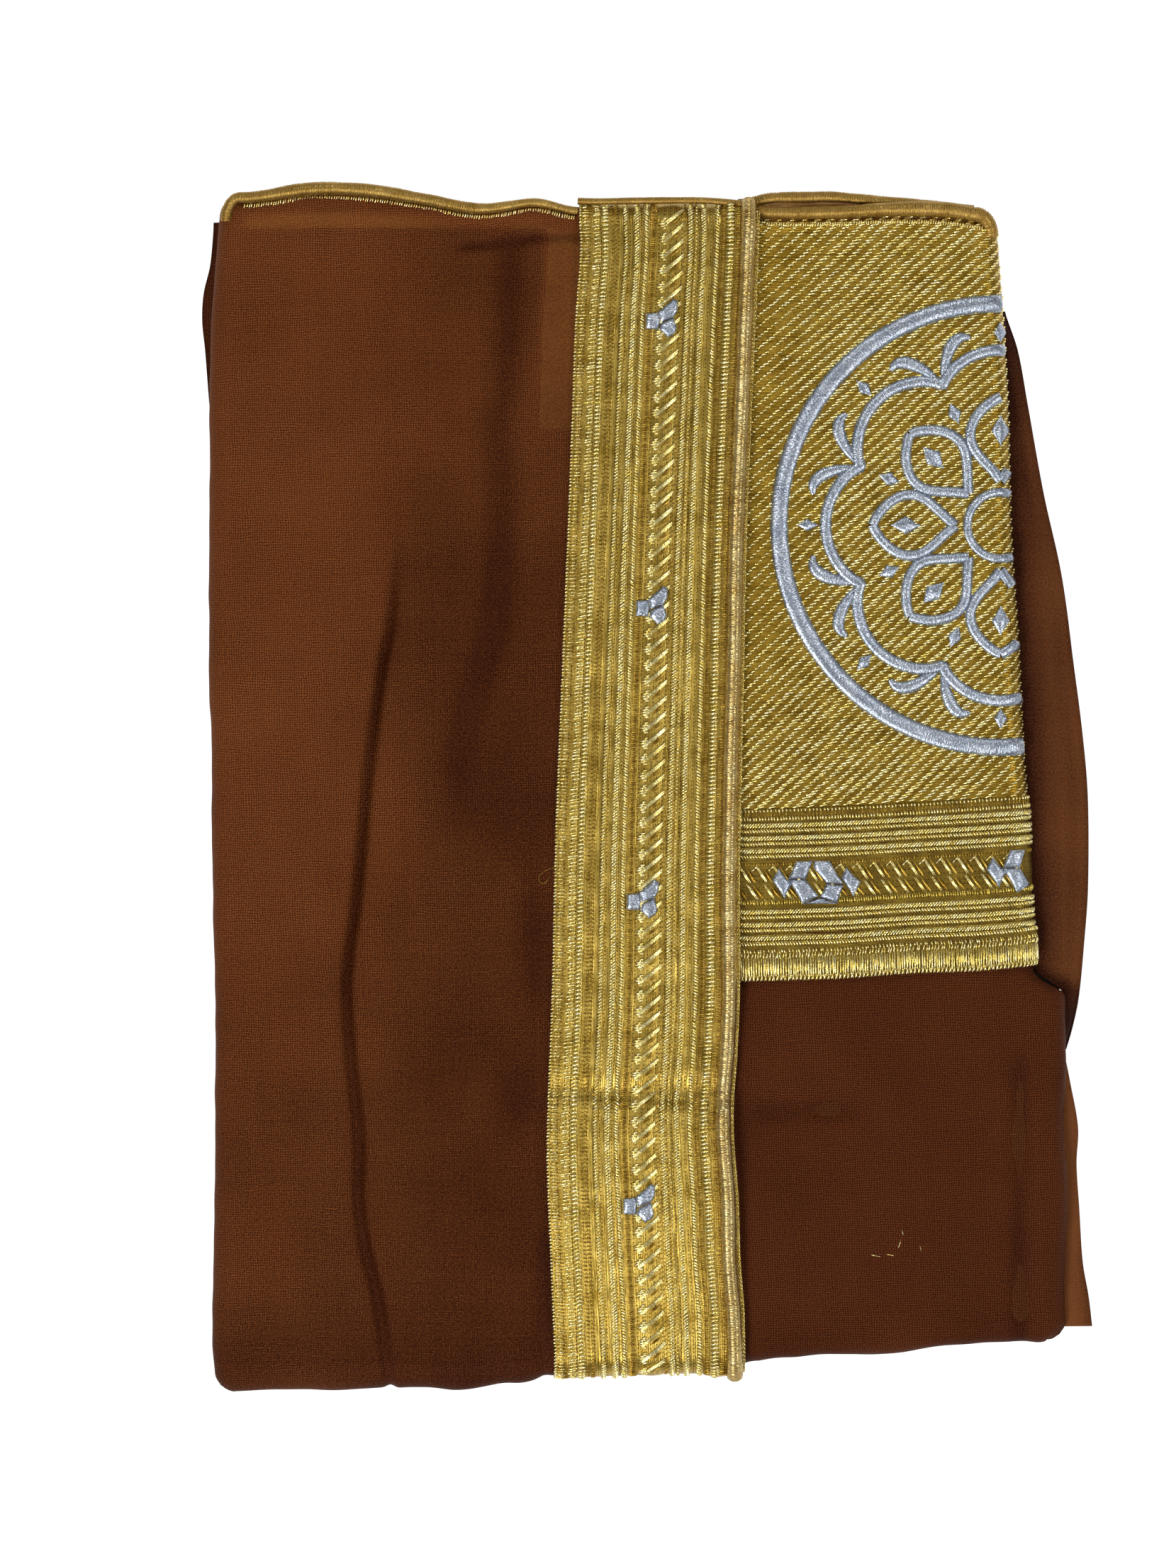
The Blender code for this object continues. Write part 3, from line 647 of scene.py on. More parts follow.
def satin_metal(name, dark, light, rough, pitch, metallic=0.95, glint=0.5, ribbed=0.3, depth=0.00013, pierced=False):
    """Metal satin stitch laid along the piece's own map, pierced by needle holes where asked."""
    made, tree, shader = start_material(name)
    place = put(tree, "ShaderNodeUVMap", {"uv_map": "cloth"}).outputs[0]
    laid_threads = put(tree, "ShaderNodeGroup", {"node_tree": satin}, Vector=place, Pitch=pitch).outputs
    drawn_out = put(tree, "ShaderNodeVectorMath", {"operation": "MULTIPLY"}, i0=place, i1=(0.45, 1.0, 1.0))
    glints = noise(tree, drawn_out.outputs[0], 2600.0, 2.0)
    share = sums(tree, "MULTIPLY_ADD", noise(tree, place, 140.0, 3.0), 0.9, -0.35)
    # Painted highlight: the colour is lighter on the crowns of the laid threads
    share = sums(tree, "MULTIPLY_ADD", laid_threads["Height"], ribbed, share)
    # Painted glints: the glint noise also lightens the colour in small flecks
    share = sums(tree, "MULTIPLY_ADD", glints, glint * 1.4, sums(tree, "SUBTRACT", share, glint * 0.7))
    colour = blend_colours(tree, share, (*dark, 1), (*light, 1))
    if pierced:
        spots = put(tree, "ShaderNodeGroup", {"node_tree": holes}, Vector=place)
        colour = blend_colours(tree, spots.outputs[0], colour, (0.03, 0.012, 0.001, 1))
    raised = sums(tree, "MULTIPLY", laid_threads["Height"], ribbed * 2)
    raised = sums(tree, "MULTIPLY_ADD", glints, glint, raised)
    end_material(tree, shader, raised, depth, 0.9, {
        "Base Color": colour,
        "Roughness": sums(tree, "MULTIPLY_ADD", laid_threads["Tone"], 0.3, rough - 0.15),
        "Metallic": metallic,
    })
    return made


# Cloth and metal: dark and light colour, then holes and cover, roughness, or roughness and pitch
brown_voile = voile("brown_voile", (0.024, 0.003, 0), (0.23, 0.068, 0.016), None, 0.62)
layered_voile = voile("layered_voile", (0.018, 0.003, 0), (0.12, 0.036, 0.009), (0.012, 0.002, 0), 0.6)
lower_voile = voile("lower_voile", (0.018, 0.002, 0), (0.14, 0.036, 0.008), (0.014, 0.002, 0), 0.58)
sheer_voile = voile("sheer_voile", (0.018, 0.002, 0), (0.155, 0.05, 0.014), (0.07, 0.03, 0.012), 0.85)
gold_thread = metal_thread("gold_thread", (0.82, 0.62, 0.13), (1, 0.94, 0.56), 0.28)
dull_gold_thread = metal_thread("dull_gold_thread", (0.24, 0.12, 0.009), (0.68, 0.46, 0.08), 0.36)
yellow_thread = metal_thread("yellow_thread", (0.5, 0.34, 0.03), (0.95, 0.78, 0.22), 0.32)
gold_ground = satin_metal("gold_ground", (0.19, 0.11, 0.007), (0.88, 0.65, 0.16), 0.43, 0.0006, pierced=True)
yoke_ground = satin_metal("yoke_ground", (0.15, 0.078, 0.004), (0.55, 0.36, 0.05), 0.42, 0.0009)
# Painted light: the placket cord's gold is a lighter copy and the shoulder cords' gold a darker copy of one zari cord
lit_cord_gold = satin_metal("lit_cord_gold", (0.34, 0.19, 0.03), (1, 0.86, 0.44), 0.3, 0.0004)
shaded_shoulder_gold = satin_metal("shaded_shoulder_gold", (0.22, 0.115, 0.012), (0.74, 0.5, 0.16), 0.48, 0.0004)
border_ground = satin_metal("border_ground", (0.08, 0.042, 0.002), (0.4, 0.27, 0.035), 0.46, 0.0006, 0.8, pierced=True)
nape_satin = satin_metal("nape_satin", (0.12, 0.045, 0.004), (0.42, 0.22, 0.035), 0.45, 0.0007, 0.5)
# Painted light: the gold seen through the front is a lighter, less metallic copy, so that it shows in the shaded gaps
lit_under_gold = satin_metal("lit_under_gold", (0.45, 0.24, 0.02), (0.95, 0.66, 0.12), 0.55, 0.0007, 0.3)
silver_satin = satin_metal("silver_satin", (0.26, 0.3, 0.37), (0.98, 0.99, 1), 0.34, 0.0006, 0.95, 1.9, 0, 0.00012)

gold_stitch = thread_tree("gold_stitch", gold_thread, 5)
dull_stitch = thread_tree("dull_stitch", dull_gold_thread, 4)
yellow_stitch = thread_tree("yellow_stitch", yellow_thread, 4)


# The voile: front, lower panel, stack of layers and the sheer folds

def spans(low, high, spacing=1.5):
    """Even places along a line, about the given spacing apart."""
    return np.linspace(low, high, int(round((high - low) / spacing)) + 1)


def lines(roll_before, shares, roll_after, count=10):
    """Lines of a cloth: share of the way between its two folds, and length past them."""
    before = np.linspace(-roll_before, 0, count, endpoint=False) if roll_before else []
    after = np.linspace(0, roll_after, count + 1)[1:] if roll_after else []
    places = np.concatenate([np.zeros(len(before)), shares, np.ones(len(after))])
    return places, np.concatenate([before, np.zeros(len(shares)), after])


def settle(columns, rows, left, right, bottom, top):
    """Cloth lengths across and up of every crossing of the columns and rows."""
    share_x, share_y = np.meshgrid(columns[0], rows[0])
    x, y = -134 + 254 * share_x, -190 + 376 * share_y
    for _ in range(6):
        x = left(y) + (right(y) - left(y)) * share_x
        y = bottom(x) + (top(x) - bottom(x)) * share_y
    return x + columns[1][None, :], y + rows[1][:, None]


def add_shade(item, values, name="painted_shading"):
    """Keep a number at each point for the material to read."""
    kept = item.data.attributes.new(name, "FLOAT", "POINT")
    kept.data.foreach_set("value", np.asarray(values, np.float32).ravel())
    return item


def make_front():
    shares = np.concatenate([np.linspace(0, 0.19, 22), np.linspace(0.19, 0.36, 56), np.linspace(0.36, 1, 72)])
    columns, rows = lines(10.9, np.unique(shares), 0), lines(10.9, np.linspace(0, 1, 252), 10.9)
    x, y = settle(columns, rows, spine_left, lambda at: band_right(at) - 2.0, spine_bottom, spine_top)
    points = laid(x, y, front_rise(x, y))
    made = add_sheet("front_cloth", points, np.stack([x + 0.02 * y, y], axis=-1), brown_voile)
    to_fold = np.minimum(x - spine_left(y), np.minimum(y - spine_bottom(x), spine_top(x) - y))
    add_shade(made, step(3.0, 0.5, to_fold), "doubled")
    return add_shade(made, front_painted_shading(x, y))


def lower_rise(x, y):
    """Height of the lower panel's cloth: its soft trough and ridge."""
    trough = -1.3 * hump(x, 123.5, 3.2) * within(y, -82, -96, -172, -182)
    ridge = 0.8 * hump(x, 130.5, 3.6) * step(-82, -96, y)
    dip = -0.8 * hump(y, -107, 4.5) * within(x, 30, 40, 66, 80)
    return PANEL_TOP + trough + ridge + dip + 0.4 * ripple(x, y, 38, 13) + 0.12 * ripple(x, y, 13, 14)


def make_lower_panel():
    columns, rows = lines(0, np.linspace(0, 1, 74), 10.7), lines(10.7, np.linspace(0, 1, 92), 0)
    x, y = settle(columns, rows, straight(22), spine_right, spine_bottom, straight(-48))
    points = laid(x, y, lower_rise(x, y))
    made = add_sheet("lower_cloth", points, np.stack([x * 0.99 + y * 0.05, y], axis=-1), lower_voile)
    # Painted shade: darker in the trough and the dip, beside the band, towards its top under the yoke's border and
    # towards the bottom
    near = 0.5 * hump(x, 123.5, 3.0) * step(-82, -96, y) + 0.3 * step(-70, -50, y)
    near = near + 0.5 * hump(y, -107, 4.5) * within(x, 30, 40, 60, 80)
    near = near + 0.25 * step(36, 30, x) + 0.3 * step(-168, -188, y)
    return add_shade(made, np.clip(near + 0.1 * ripple(x, y, 40, 15), 0, 1))


# How far each fold lip of the stack is shifted outwards, from the top down
LIP_SHIFTS = (-0.9, 0.2, -0.4, 0.5, -0.7, 0.3, 0.6, -0.3, 0.4, -0.6, 0.3, -0.2)
LIP_STEPS = 5


def make_stack():
    """The hidden layers: one rounded form whose sides are a dozen uneven fold lips."""
    roll = FOLD_RADIUS * radians(80)
    share_x, over_x = lines(roll, np.linspace(0, 1, 42), roll, 5)
    share_y, over_y = lines(roll, np.linspace(0, 1, 90), roll, 5)
    share_x, share_y = np.meshgrid(share_x, share_y)
    x = -134 + 254 * share_x
    for _ in range(4):
        y = spine_bottom(x) + (spine_top(x) - spine_bottom(x)) * share_y
        x = spine_left(y) + (spine_right(y) - spine_left(y)) * share_x
    points = laid(x + over_x, y + over_y[:, None], 0.35)
    index = np.arange(x.size).reshape(x.shape)
    loop = np.concatenate([index[0], index[1:, -1], index[-1, -2::-1], index[-2:0:-1, 0]])
    ring = points.reshape(-1, 3)[loop]
    hub = np.stack([x, y, 0 * x], axis=-1).reshape(-1, 3)[loop]
    out = unit((ring - hub) * (1, 1, 0))
    walk = run_along(ring)
    vertices, uv = [points.reshape(-1, 3)], [points[..., :2].reshape(-1, 2)]
    faces = grid_faces(*x.shape)
    previous, total = loop, x.size
    levels = len(LIP_SHIFTS) * LIP_STEPS
    for level in range(1, levels + 1):
        lip, part = divmod(level - 1, LIP_STEPS)
        share = (level - 0.25 * np.sin(2 * pi * level / LIP_STEPS)) / levels
        own = 0.5 * ripple(walk, 37.0 * lip, 46, 60 + lip) + 0.2 * ripple(walk, 11.0 * lip, 14, 80 + lip)
        reach = FOLD_RADIUS - 0.75 + 0.45 * LIP_SHIFTS[lip] + 0.35 * np.clip(own, -1.4, 1.4)
        reach = reach + 0.85 * sin(pi * (part + 1) / LIP_STEPS)
        wave = 0.25 * ripple(walk, 5.0 * lip, 60, 100 + lip) * min(share * 6, 1) * (1 - share)
        placed = hub + out * reach[:, None]
        placed[:, 2] = np.maximum(ring[:, 2] * (1 - share) + wave, 0.0) if level < levels else 0.0
        vertices.append(placed)
        uv.append(np.stack([walk, 220 + level * 0.55 + 0 * walk], axis=-1))
        now = total + np.arange(len(loop))
        lip_faces = np.stack([previous, now, np.roll(now, -1), np.roll(previous, -1)], axis=1)
        faces += [tuple(face) for face in lip_faces.tolist()]
        previous, total = now, total + len(loop)
    faces.append(tuple(previous[::-1].tolist()))
    return face_out(add_object("layer_stack", np.concatenate(vertices), faces, layered_voile, np.concatenate(uv)))


def make_flap(name, edge, root, low, high, heights, material, seed, sign=1, shadow=1.1):
    """Sheer cloth folded back on itself beside the pack: over, round its edge and back."""
    tip = heights[-1][1] / 2
    profile = [(share, height, 0.0) for share, height in heights]
    for angle in np.radians((30, 60, 90, 120, 150)):
        profile.append((1.0, tip + tip * cos(angle), tip * sin(angle)))
    profile += [(1.0, 0.12, 0.0), (0.66, 0.1, 0.0), (0.33, 0.1, 0.0), (0.0, 0.1, 0.0)]
    share, height, out = np.array(profile).T
    up = spans(low, high)[:, None]
    start, end = root(up), edge(up)
    x = start + (end - sign * tip - start) * share + sign * out
    y = up + 0 * x
    lively = 0.22 * ripple(x, y, 24, seed) * (height > 0.5)
    points = np.stack([x, y, np.maximum(height + lively, 0.08)], axis=-1)
    run = np.array([run_along(row) for row in points])
    to_edge = np.abs(x - end)
    # Painted shadow near the root and darker lines along the fold edge and 5 mm inside it; a negative shadow paints
    # the root lighter
    near = shadow * (1.5 * hump(x, start, 8.0) - 0.25) + 0.5 * hump(to_edge, 0, 1.3)
    near = near + 0.35 * hump(to_edge, 5.0, 1.0) + 0.12 * ripple(x, y, 30, 34)
    # Sheets face up on either side of the pack
    uv = np.stack([start + sign * run, y], axis=-1)[:, ::sign]
    return add_shade(add_sheet(name, points[:, ::sign], uv, material), near[:, ::sign])

def root_side(y):
    share = np.clip((-59.0 - y) / 8.0, 0, 1)
    return (1 - share) * yoke_fold(y) + share * right_edge(y) - 0.6


def root_left(y):
    return left_edge(y) + 1.0


# Heights of the folds from root to tip: ("share", "height")
SIDE_PROFILE = ((0.0, 4.2), (0.2, 4.0), (0.4, 3.6), (0.6, 3.1), (0.8, 2.5), (0.92, 2.0), (1.0, 1.5))
THIN_PROFILE = ((0.0, 2.5), (0.35, 2.3), (0.7, 1.9), (1.0, 1.2))

stack = make_stack()
front = make_front()
lower = make_lower_panel()
side_flap = make_flap(
    "side_fold_cloth", curve(SIDE_FOLD_EDGE), root_side, -87.0, 158.0, SIDE_PROFILE, sheer_voile, 31)
under_flap = make_flap(
    "under_fold_cloth", curve(UNDER_FOLD_EDGE), root_side, -179.0, -90.0, THIN_PROFILE, sheer_voile, 32, shadow=-1.3)
left_flap = make_flap(
    "left_under_cloth", curve(UNDER_LAYER_EDGE), root_left, 118.0, 187.5, THIN_PROFILE, lower_voile, 33, -1, 0.3)


# The placket band: its ground, then its stitches column by column

# Width shares of the ground's columns: ("share", "raised")
BAND_GROUND = (
    (0, 0.1), (0.012, 0.3), (0.07, 0.35), (0.114, 0.3), (0.118, 0.05), (0.138, 0.5), (0.158, 0.05), (0.185, 0),
    (0.2, 0.4), (0.215, 0.05), (0.238, 0.05), (0.253, 0.5), (0.268, 0), (0.294, 0), (0.317, 0.6),
    (0.342, 0), (0.365, 0.55), (0.384, 0.1), (0.41, 0.3), (0.434, 0), (0.45, 0.1), (0.476, 0.3),
    (0.516, 0.5), (0.556, 0.3), (0.57, 0), (0.582, 0.15), (0.596, 0), (0.616, 0.6), (0.634, 0),
    (0.646, 0.35), (0.658, 0), (0.67, 0), (0.691, 0.6), (0.712, 0), (0.738, 0), (0.761, 0.55),
    (0.78, 0.1), (0.797, 0.3), (0.814, 0), (0.839, 0.5), (0.864, 0), (0.88, 0), (0.92, 0.05),
    (0.98, 0), (0.99, 0.15), (1, 0),
)
band_ground_line = np.array(BAND_GROUND).T


def band_raised(share):
    return np.interp(share, *band_ground_line)


def band_waves(x, y):
    """Slow rise and fall of the stiff band, and the fold that crosses it low down."""
    upper = step(-102, -105.4, y + 0.05 * x)
    fold = 3.6 * upper * (1 - step(-109, -172, y)) - 1.3 * hump(y, -99.5, 3.0)
    return fold + 0.55 * ripple(x * 0.2, y, 52, 41) + 0.1 * ripple(x, y, 16, 42) + 0.5 * hump(y, 112, 9.0)


def band_surface(share, y, lift=0.0):
    """Place on the band for a share of its width and a length up it."""
    held = np.clip(y, *BAND_FLAT)
    left, right = band_left(held), band_right(held)
    x = left + (right - left) * share
    rise = BAND_TOP + front_lift(x, held) + band_raised(share) + 0.6 * band_waves(x, y) + lift
    return laid(x, y, rise)


band_surface.nudge = 0.004


def make_band_ground():
    shares = np.unique(np.concatenate([band_ground_line[0], np.linspace(0, 1, 50)]))
    rows = lines(12.6, np.linspace(0, 1, 236), 12.4)
    x, y = settle((shares, 0 * shares), rows, band_left, band_right, spine_bottom, spine_top)
    share = np.broadcast_to(shares, x.shape)
    under = laid(x[:, 0] + 0.3, y[:, 0], TRIM_BASE - 0.2)
    points = np.concatenate([under[:, None], band_surface(share, y)], axis=1)
    uv = np.stack([y, share * 58.6], axis=-1)
    return add_sheet("band_ground", points, np.concatenate([uv[:, :1] - (0, 1.5), uv], axis=1), gold_ground)


# Rows of stitches up the band: first and last width share, and millimetres
BAND_STITCHES = (
    # ("thread", "pitch", "first", "last", "slope", "width", "height", "jitter", "loose")
    ("bright", 1.1, -0.008, 0.008, 0.5, 0.84, 0.96, 0.08, 0.001),
    ("dull", 1.1, 0.008, 0.07, 0.1, 0.52, 0.5, 0.08, 0.004),
    ("bright", 1.1, 0.012, 0.046, 0.1, 0.43, 0.84, 0.12, 0.01),
    ("bright", 1.1, 0.072, 0.112, 0.4, 0.6, 0.72, 0.3, 0.008),
    ("bright", 1.3, 0.119, 0.157, 0.15, 1.05, 1.08, 0.1, 0.002),
    ("dull", 1.3, 0.163, 0.185, 0.1, 0.4, 0.4, 0.1, 0.002),
    ("dull", 1.3, 0.187, 0.212, 0.6, 0.7, 0.6, 0.1, 0.002),
    ("bright", 1, 0.242, 0.264, 0.9, 0.72, 0.96, 0.08, 0.002),
    ("bright", 0.95, 0.3, 0.333, 1.6, 0.7, 0.96, 0.08, 0.002),
    ("bright", 0.95, 0.35, 0.379, -1.2, 0.66, 0.96, 0.08, 0.002),
    ("dull", 0.62, 0.388, 0.43, 0.2, 0.5, 0.4, 0.06, 0.002),
    ("dull", 1.5, 0.574, 0.59, 0.8, 0.46, 0.5, 0.2, 0.002),
    ("bright", 0.95, 0.602, 0.63, 1.2, 0.7, 0.96, 0.08, 0.002),
    ("bright", 1.3, 0.639, 0.653, -0.6, 0.6, 0.84, 0.12, 0.002),
    ("bright", 0.95, 0.676, 0.706, 1.4, 0.7, 0.96, 0.08, 0.002),
    ("bright", 1, 0.746, 0.776, -1.2, 0.72, 0.96, 0.12, 0.002),
    ("dull", 0.62, 0.782, 0.812, 0.2, 0.5, 0.4, 0.06, 0.002),
    ("bright", 1.3, 0.818, 0.86, 0.15, 1.05, 1.08, 0.1, 0.002),
    ("dull", 0.9, 0.868, 0.914, 0.05, 0.36, 0.5, 0.15, 0.008),
    ("bright", 1.3, 0.984, 0.99, 0.8, 0.48, 0.72, 0.08, 0.001),
    ("bright", 1.3, 0.992, 0.999, -0.8, 0.48, 0.72, 0.08, 0.001),
)


def up_the_band(share, pitch, jitter, dice):
    """Places for stitches up the band at a share of its width, from fold to fold."""
    y = np.arange(-202.0, 197.0, pitch)
    y = y + dice.uniform(-jitter, jitter, len(y))
    x = band_left(y) + (band_right(y) - band_left(y)) * share
    return y[(y > spine_bottom(x) - 10.4) & (y < spine_top(x) + 9.6)]


def make_band_stitches():
    seats = {"bright": [], "dull": []}
    for number, row in enumerate(BAND_STITCHES):
        thread, pitch, first, last, slope, width, height, jitter, loose = row
        dice = np.random.default_rng(100 + number)
        y = up_the_band(first, pitch, jitter, dice)
        start = (first + dice.uniform(-loose, loose, len(y)), y - slope / 2)
        end = (last + dice.uniform(-loose, loose, len(y)), y + slope / 2)
        seats[thread].append(seats_on(band_surface, start, end, width, height))
    # Braid: slanted bars of three threads, and the arrowheads at their feet
    dice = np.random.default_rng(25)
    y = up_the_band(0.5, 5.2, 0.15, dice)
    y = y[(y > -195) & (y < 191)]

    def across(thread, first, last, width, height, lift=0.0):
        start, end = ((share + 0 * y, y + up) for share, up in (first, last))
        seats[thread].append(seats_on(band_surface, start, end, width, height, lift))

    for up in (-0.45, 0.0, 0.45):
        across("bright", (0.462, up - 2.9), (0.574, up + 2.7), 0.74, 1.2 - 0.6 * abs(up), 0.15)
    for up, left in ((-0.6, 0.456), (-1.4, 0.442), (-2.2, 0.437), (-3.0, 0.443), (-3.8, 0.458)):
        across("bright", (left, up), (0.484, up + 0.3), 0.9, 1.0, 0.05)
    across("dull", (0.505, -2.6), (0.56, 0.1), 0.9, 0.4)
    return (
        set_threads("band_bright_stitches", gold_stitch, seats["bright"], seed=3),
        set_threads("band_dull_stitches", dull_stitch, seats["dull"], arch=0.6, seed=4),
    )


def wrapped(size, depth, seed):
    """Radius of a cord wound with satin thread, with a few splits between the turns."""
    pitch = 0.8
    split_at = np.sort(np.random.default_rng(seed).uniform(0, 420, 120))

    def radius(length, angle):
        thread = np.abs(np.sin(pi * (length + 0.9 * np.sin(angle)) / pitch)) ** 0.7
        nearest = np.min(np.abs(length[..., None] - split_at), axis=-1)
        swell = 1 + 0.03 * np.sin(length * 0.21 + seed) + 0.02 * np.sin(length * 0.53)
        return size(length) * swell * (1 - depth * (1 - thread) - 0.055 * hump(nearest, 0, 0.22))
    return radius


def make_placket_cord():
    y = np.linspace(spine_bottom(29.0) - 11.0, spine_top(33.0) + 10.6, 280)
    held = np.clip(y, *BAND_FLAT)
    x = band_right(held) - 3.6 + 0.2 * ripple(0, y, 60, 45)
    rise = TRIM_BASE + front_lift(x, held) + 2.5 + 0.6 * band_waves(x, y)
    path = path_from(laid(x, y, rise), 0.2)
    return add_tube("placket_cord_wound", path, wrapped(straight(2.75), 0.08, 47), lit_cord_gold, 14)


band_ground = make_band_ground()
band_bright, band_dull = make_band_stitches()
placket_cord = make_placket_cord()


# The yoke: its ground, its rows of floats and the border below it

def yoke_surface(x, y, lift=0.0):
    waves = 0.3 * ripple(x, y, 48, 51) + 0.08 * ripple(x, y, 12, 52)
    return laid(x, y, PANEL_TOP + waves + lift, right=spine_yoke)


yoke_surface.nudge = 0.4


def make_yoke_ground():
    columns, rows = lines(0, np.linspace(0, 1, 66), 10.4), lines(0, np.linspace(0, 1, 124), 10.4)
    x, y = settle(columns, rows, straight(22), spine_yoke, lambda at: border_top(at) + 0.2, spine_top)
    return add_sheet("yoke_ground_cloth", yoke_surface(x, y), np.stack([x, y], axis=-1), yoke_ground)


def make_yoke_floats():
    """Horizontal floats in twill order, so that they line up in rising diagonals."""
    pitch, shift, rows = 4.22, 1.15, 206
    dice = np.random.default_rng(55)
    places = []
    for row in range(rows):
        x = np.arange(22.0 + (row * shift) % pitch, 134.0, pitch)
        x = x + dice.uniform(-0.14, 0.14, len(x))
        places.append((x, row - 7.4 + dice.uniform(-0.07, 0.07, len(x))))
    x, y = np.concatenate(places, axis=1)
    tilt = 0.09 * (1 - step(20, 150, y))
    y = y + (x - 70) * tilt * 0.6 + 0.5 * ripple(x, y, 70, 56)
    held = np.minimum(y, BAND_FLAT[1])
    keep = (y > border_top(x) + 0.5) & (y < spine_top(x) + 8.5)
    keep = keep & (x > band_right(held) - 3) & (x < spine_yoke(held) + 9.8)
    x, y = x[keep], y[keep]
    lean = tilt[keep] + 0.15 + 0.05 * dice.uniform(-1, 1, len(x))
    wave = 0.5 + 0.5 * np.sin(2 * pi * (0.42 * x - 0.9 * y) / 8.5 + ripple(x, y, 40, 57))
    thin = 1 - 0.3 * step(108, 122, x) - 0.34 * (1 - step(40, 66, x)) * step(0, 60, y)
    half = 1.5 * (0.86 + 0.2 * wave) * dice.uniform(0.85, 1.12, len(x)) * thin
    start, end = (x - half, y - half * lean), (x + half, y + half * lean)
    seats = seats_on(yoke_surface, start, end, 0.74 + 0.12 * wave, 0.78)
    return set_threads("yoke_floats", gold_stitch, [seats], 0.6, 6)


# Height shares of the border's rows from its top: ("share", "raised")
BORDER_GROUND = (
    (0, 0.2), (0.017, 0.3), (0.042, 0.2), (0.071, 0.35), (0.078, 0), (0.097, 0.5), (0.113, 0),
    (0.131, 0.45), (0.148, 0), (0.172, 0.5), (0.188, 0), (0.206, 0.45), (0.223, 0), (0.247, 0.5),
    (0.263, 0), (0.281, 0.45), (0.298, 0), (0.32, 0.3), (0.43, 0.5), (0.53, 0.35), (0.56, 0.3),
    (0.58, 0), (0.605, 0.5), (0.621, 0), (0.639, 0.45), (0.656, 0), (0.682, 0.5), (0.698, 0),
    (0.716, 0.45), (0.733, 0), (0.759, 0.5), (0.775, 0), (0.793, 0.45), (0.812, 0), (0.83, 0.1),
    (0.86, 0.3), (0.88, 0.2), (1, 0.05),
)
border_ground_line = np.array(BORDER_GROUND).T


def border_surface(x, down, lift=0.0):
    """Place on the border for a length across it and a length from its top, below zero."""
    high, low = border_top(x), border_bottom(x)
    share = -down / BORDER_HEIGHT
    y = high + (low - high) * share
    lap = step(-14.5, -9.5, low - y) * 1.7
    waves = 0.3 * ripple(x, y, 48, 51)
    rise = PANEL_TOP + 0.1 + lap + np.interp(share, *border_ground_line) * 0.9 + waves + lift
    return laid(x, y, rise, right=spine_yoke)


border_surface.nudge = 0.4


def make_border_ground():
    shares = np.unique(np.concatenate([border_ground_line[0], np.linspace(0, 1, 50)]))[::-1]
    columns = lines(0, np.linspace(0, 1, 62), 10.6)
    x, y = settle(columns, (1 - shares, 0 * shares), straight(22), spine_yoke, border_bottom, border_top)
    down = np.broadcast_to(-BORDER_HEIGHT * shares[:, None], x.shape)
    uv = np.stack([x, down], axis=-1)
    return add_sheet("border_ground_cloth", border_surface(x, down), uv, border_ground)


# Rows of stitches across the border: first and last height share, and millimetres
BORDER_STITCHES = (
    # ("thread", "pitch", "first", "last", "slope", "width", "height", "jitter", "loose")
    ("bright", 1.25, 0, 0.02, 0.3, 0.66, 0.84, 0.15, 0.002),
    ("dull", 1.25, 0.018, 0.044, 0.1, 0.5, 0.5, 0.2, 0.002),
    ("bright", 1, 0.044, 0.07, 0.3, 0.72, 0.9, 0.15, 0.002),
    ("bright", 1.15, 0.824, 0.848, 0.5, 0.6, 0.72, 0.3, 0.004),
    ("bright", 1.05, 0.846, 0.876, -0.3, 0.6, 0.78, 0.3, 0.004),
    ("bright", 0.82, 0.876, 0.986, 0.25, 0.5, 0.6, 0.15, 0.01),
    ("yellow", 0.9, 0.88, 0.96, -0.2, 0.48, 0.48, 0.2, 0.012),
    ("bright", 1.3, 0.975, 1.01, 0.7, 0.6, 0.96, 0.06, 0.002),
    ("bright", 1.3, 0.978, 1.012, -0.7, 0.6, 0.84, 0.06, 0.002),
    ("yellow", 0.8, 0.534, 0.566, 0.4, 0.72, 0.72, 0.15, 0.004),
    ("dull", 0.9, 0.312, 0.334, 0.3, 0.6, 0.4, 0.15, 0.002),
)
# Height shares where the herringbone ribs of the border begin
BORDER_RIBS = (0.082, 0.157, 0.232, 0.59, 0.667, 0.744)
# Stitches of one bar of the border's braid
BORDER_BRAID = (
    # ("thread", "across", "first", "last", "slope", "width", "height", "lift")
    ("bright", -2.0, 0.34, 0.43, 3.2, 0.62, 1.1, 0.12), ("bright", 0.5, 0.445, 0.53, 3.2, 0.62, 1.1, 0.12),
    ("bright", -1.5, 0.34, 0.43, 3.2, 0.62, 1.1, 0.12), ("bright", 1.0, 0.445, 0.53, 3.2, 0.62, 1.1, 0.12),
    ("bright", -4.0, 0.362, 0.33, 2.0, 0.5, 0.7, 0.0), ("dull", 0.2, 0.345, 0.43, 3.0, 1.3, 0.5, 0.0),
    ("dull", 2.7, 0.45, 0.525, 3.0, 1.3, 0.5, 0.0),
)


def along_border(pitch, jitter, dice):
    x = np.arange(26.0, 136.0, pitch)
    x = x + dice.uniform(-jitter, jitter, len(x))
    return x[x < spine_yoke(-30.0) + 10.4]


def across_border(x, first, last, slope, width, height, lift=0.0):
    """Seats for stitches down the border between two shares of its height."""
    start = (x - slope / 2, -BORDER_HEIGHT * first + 0 * x)
    end = (x + slope / 2, -BORDER_HEIGHT * last + 0 * x)
    return seats_on(border_surface, start, end, width, height, lift)


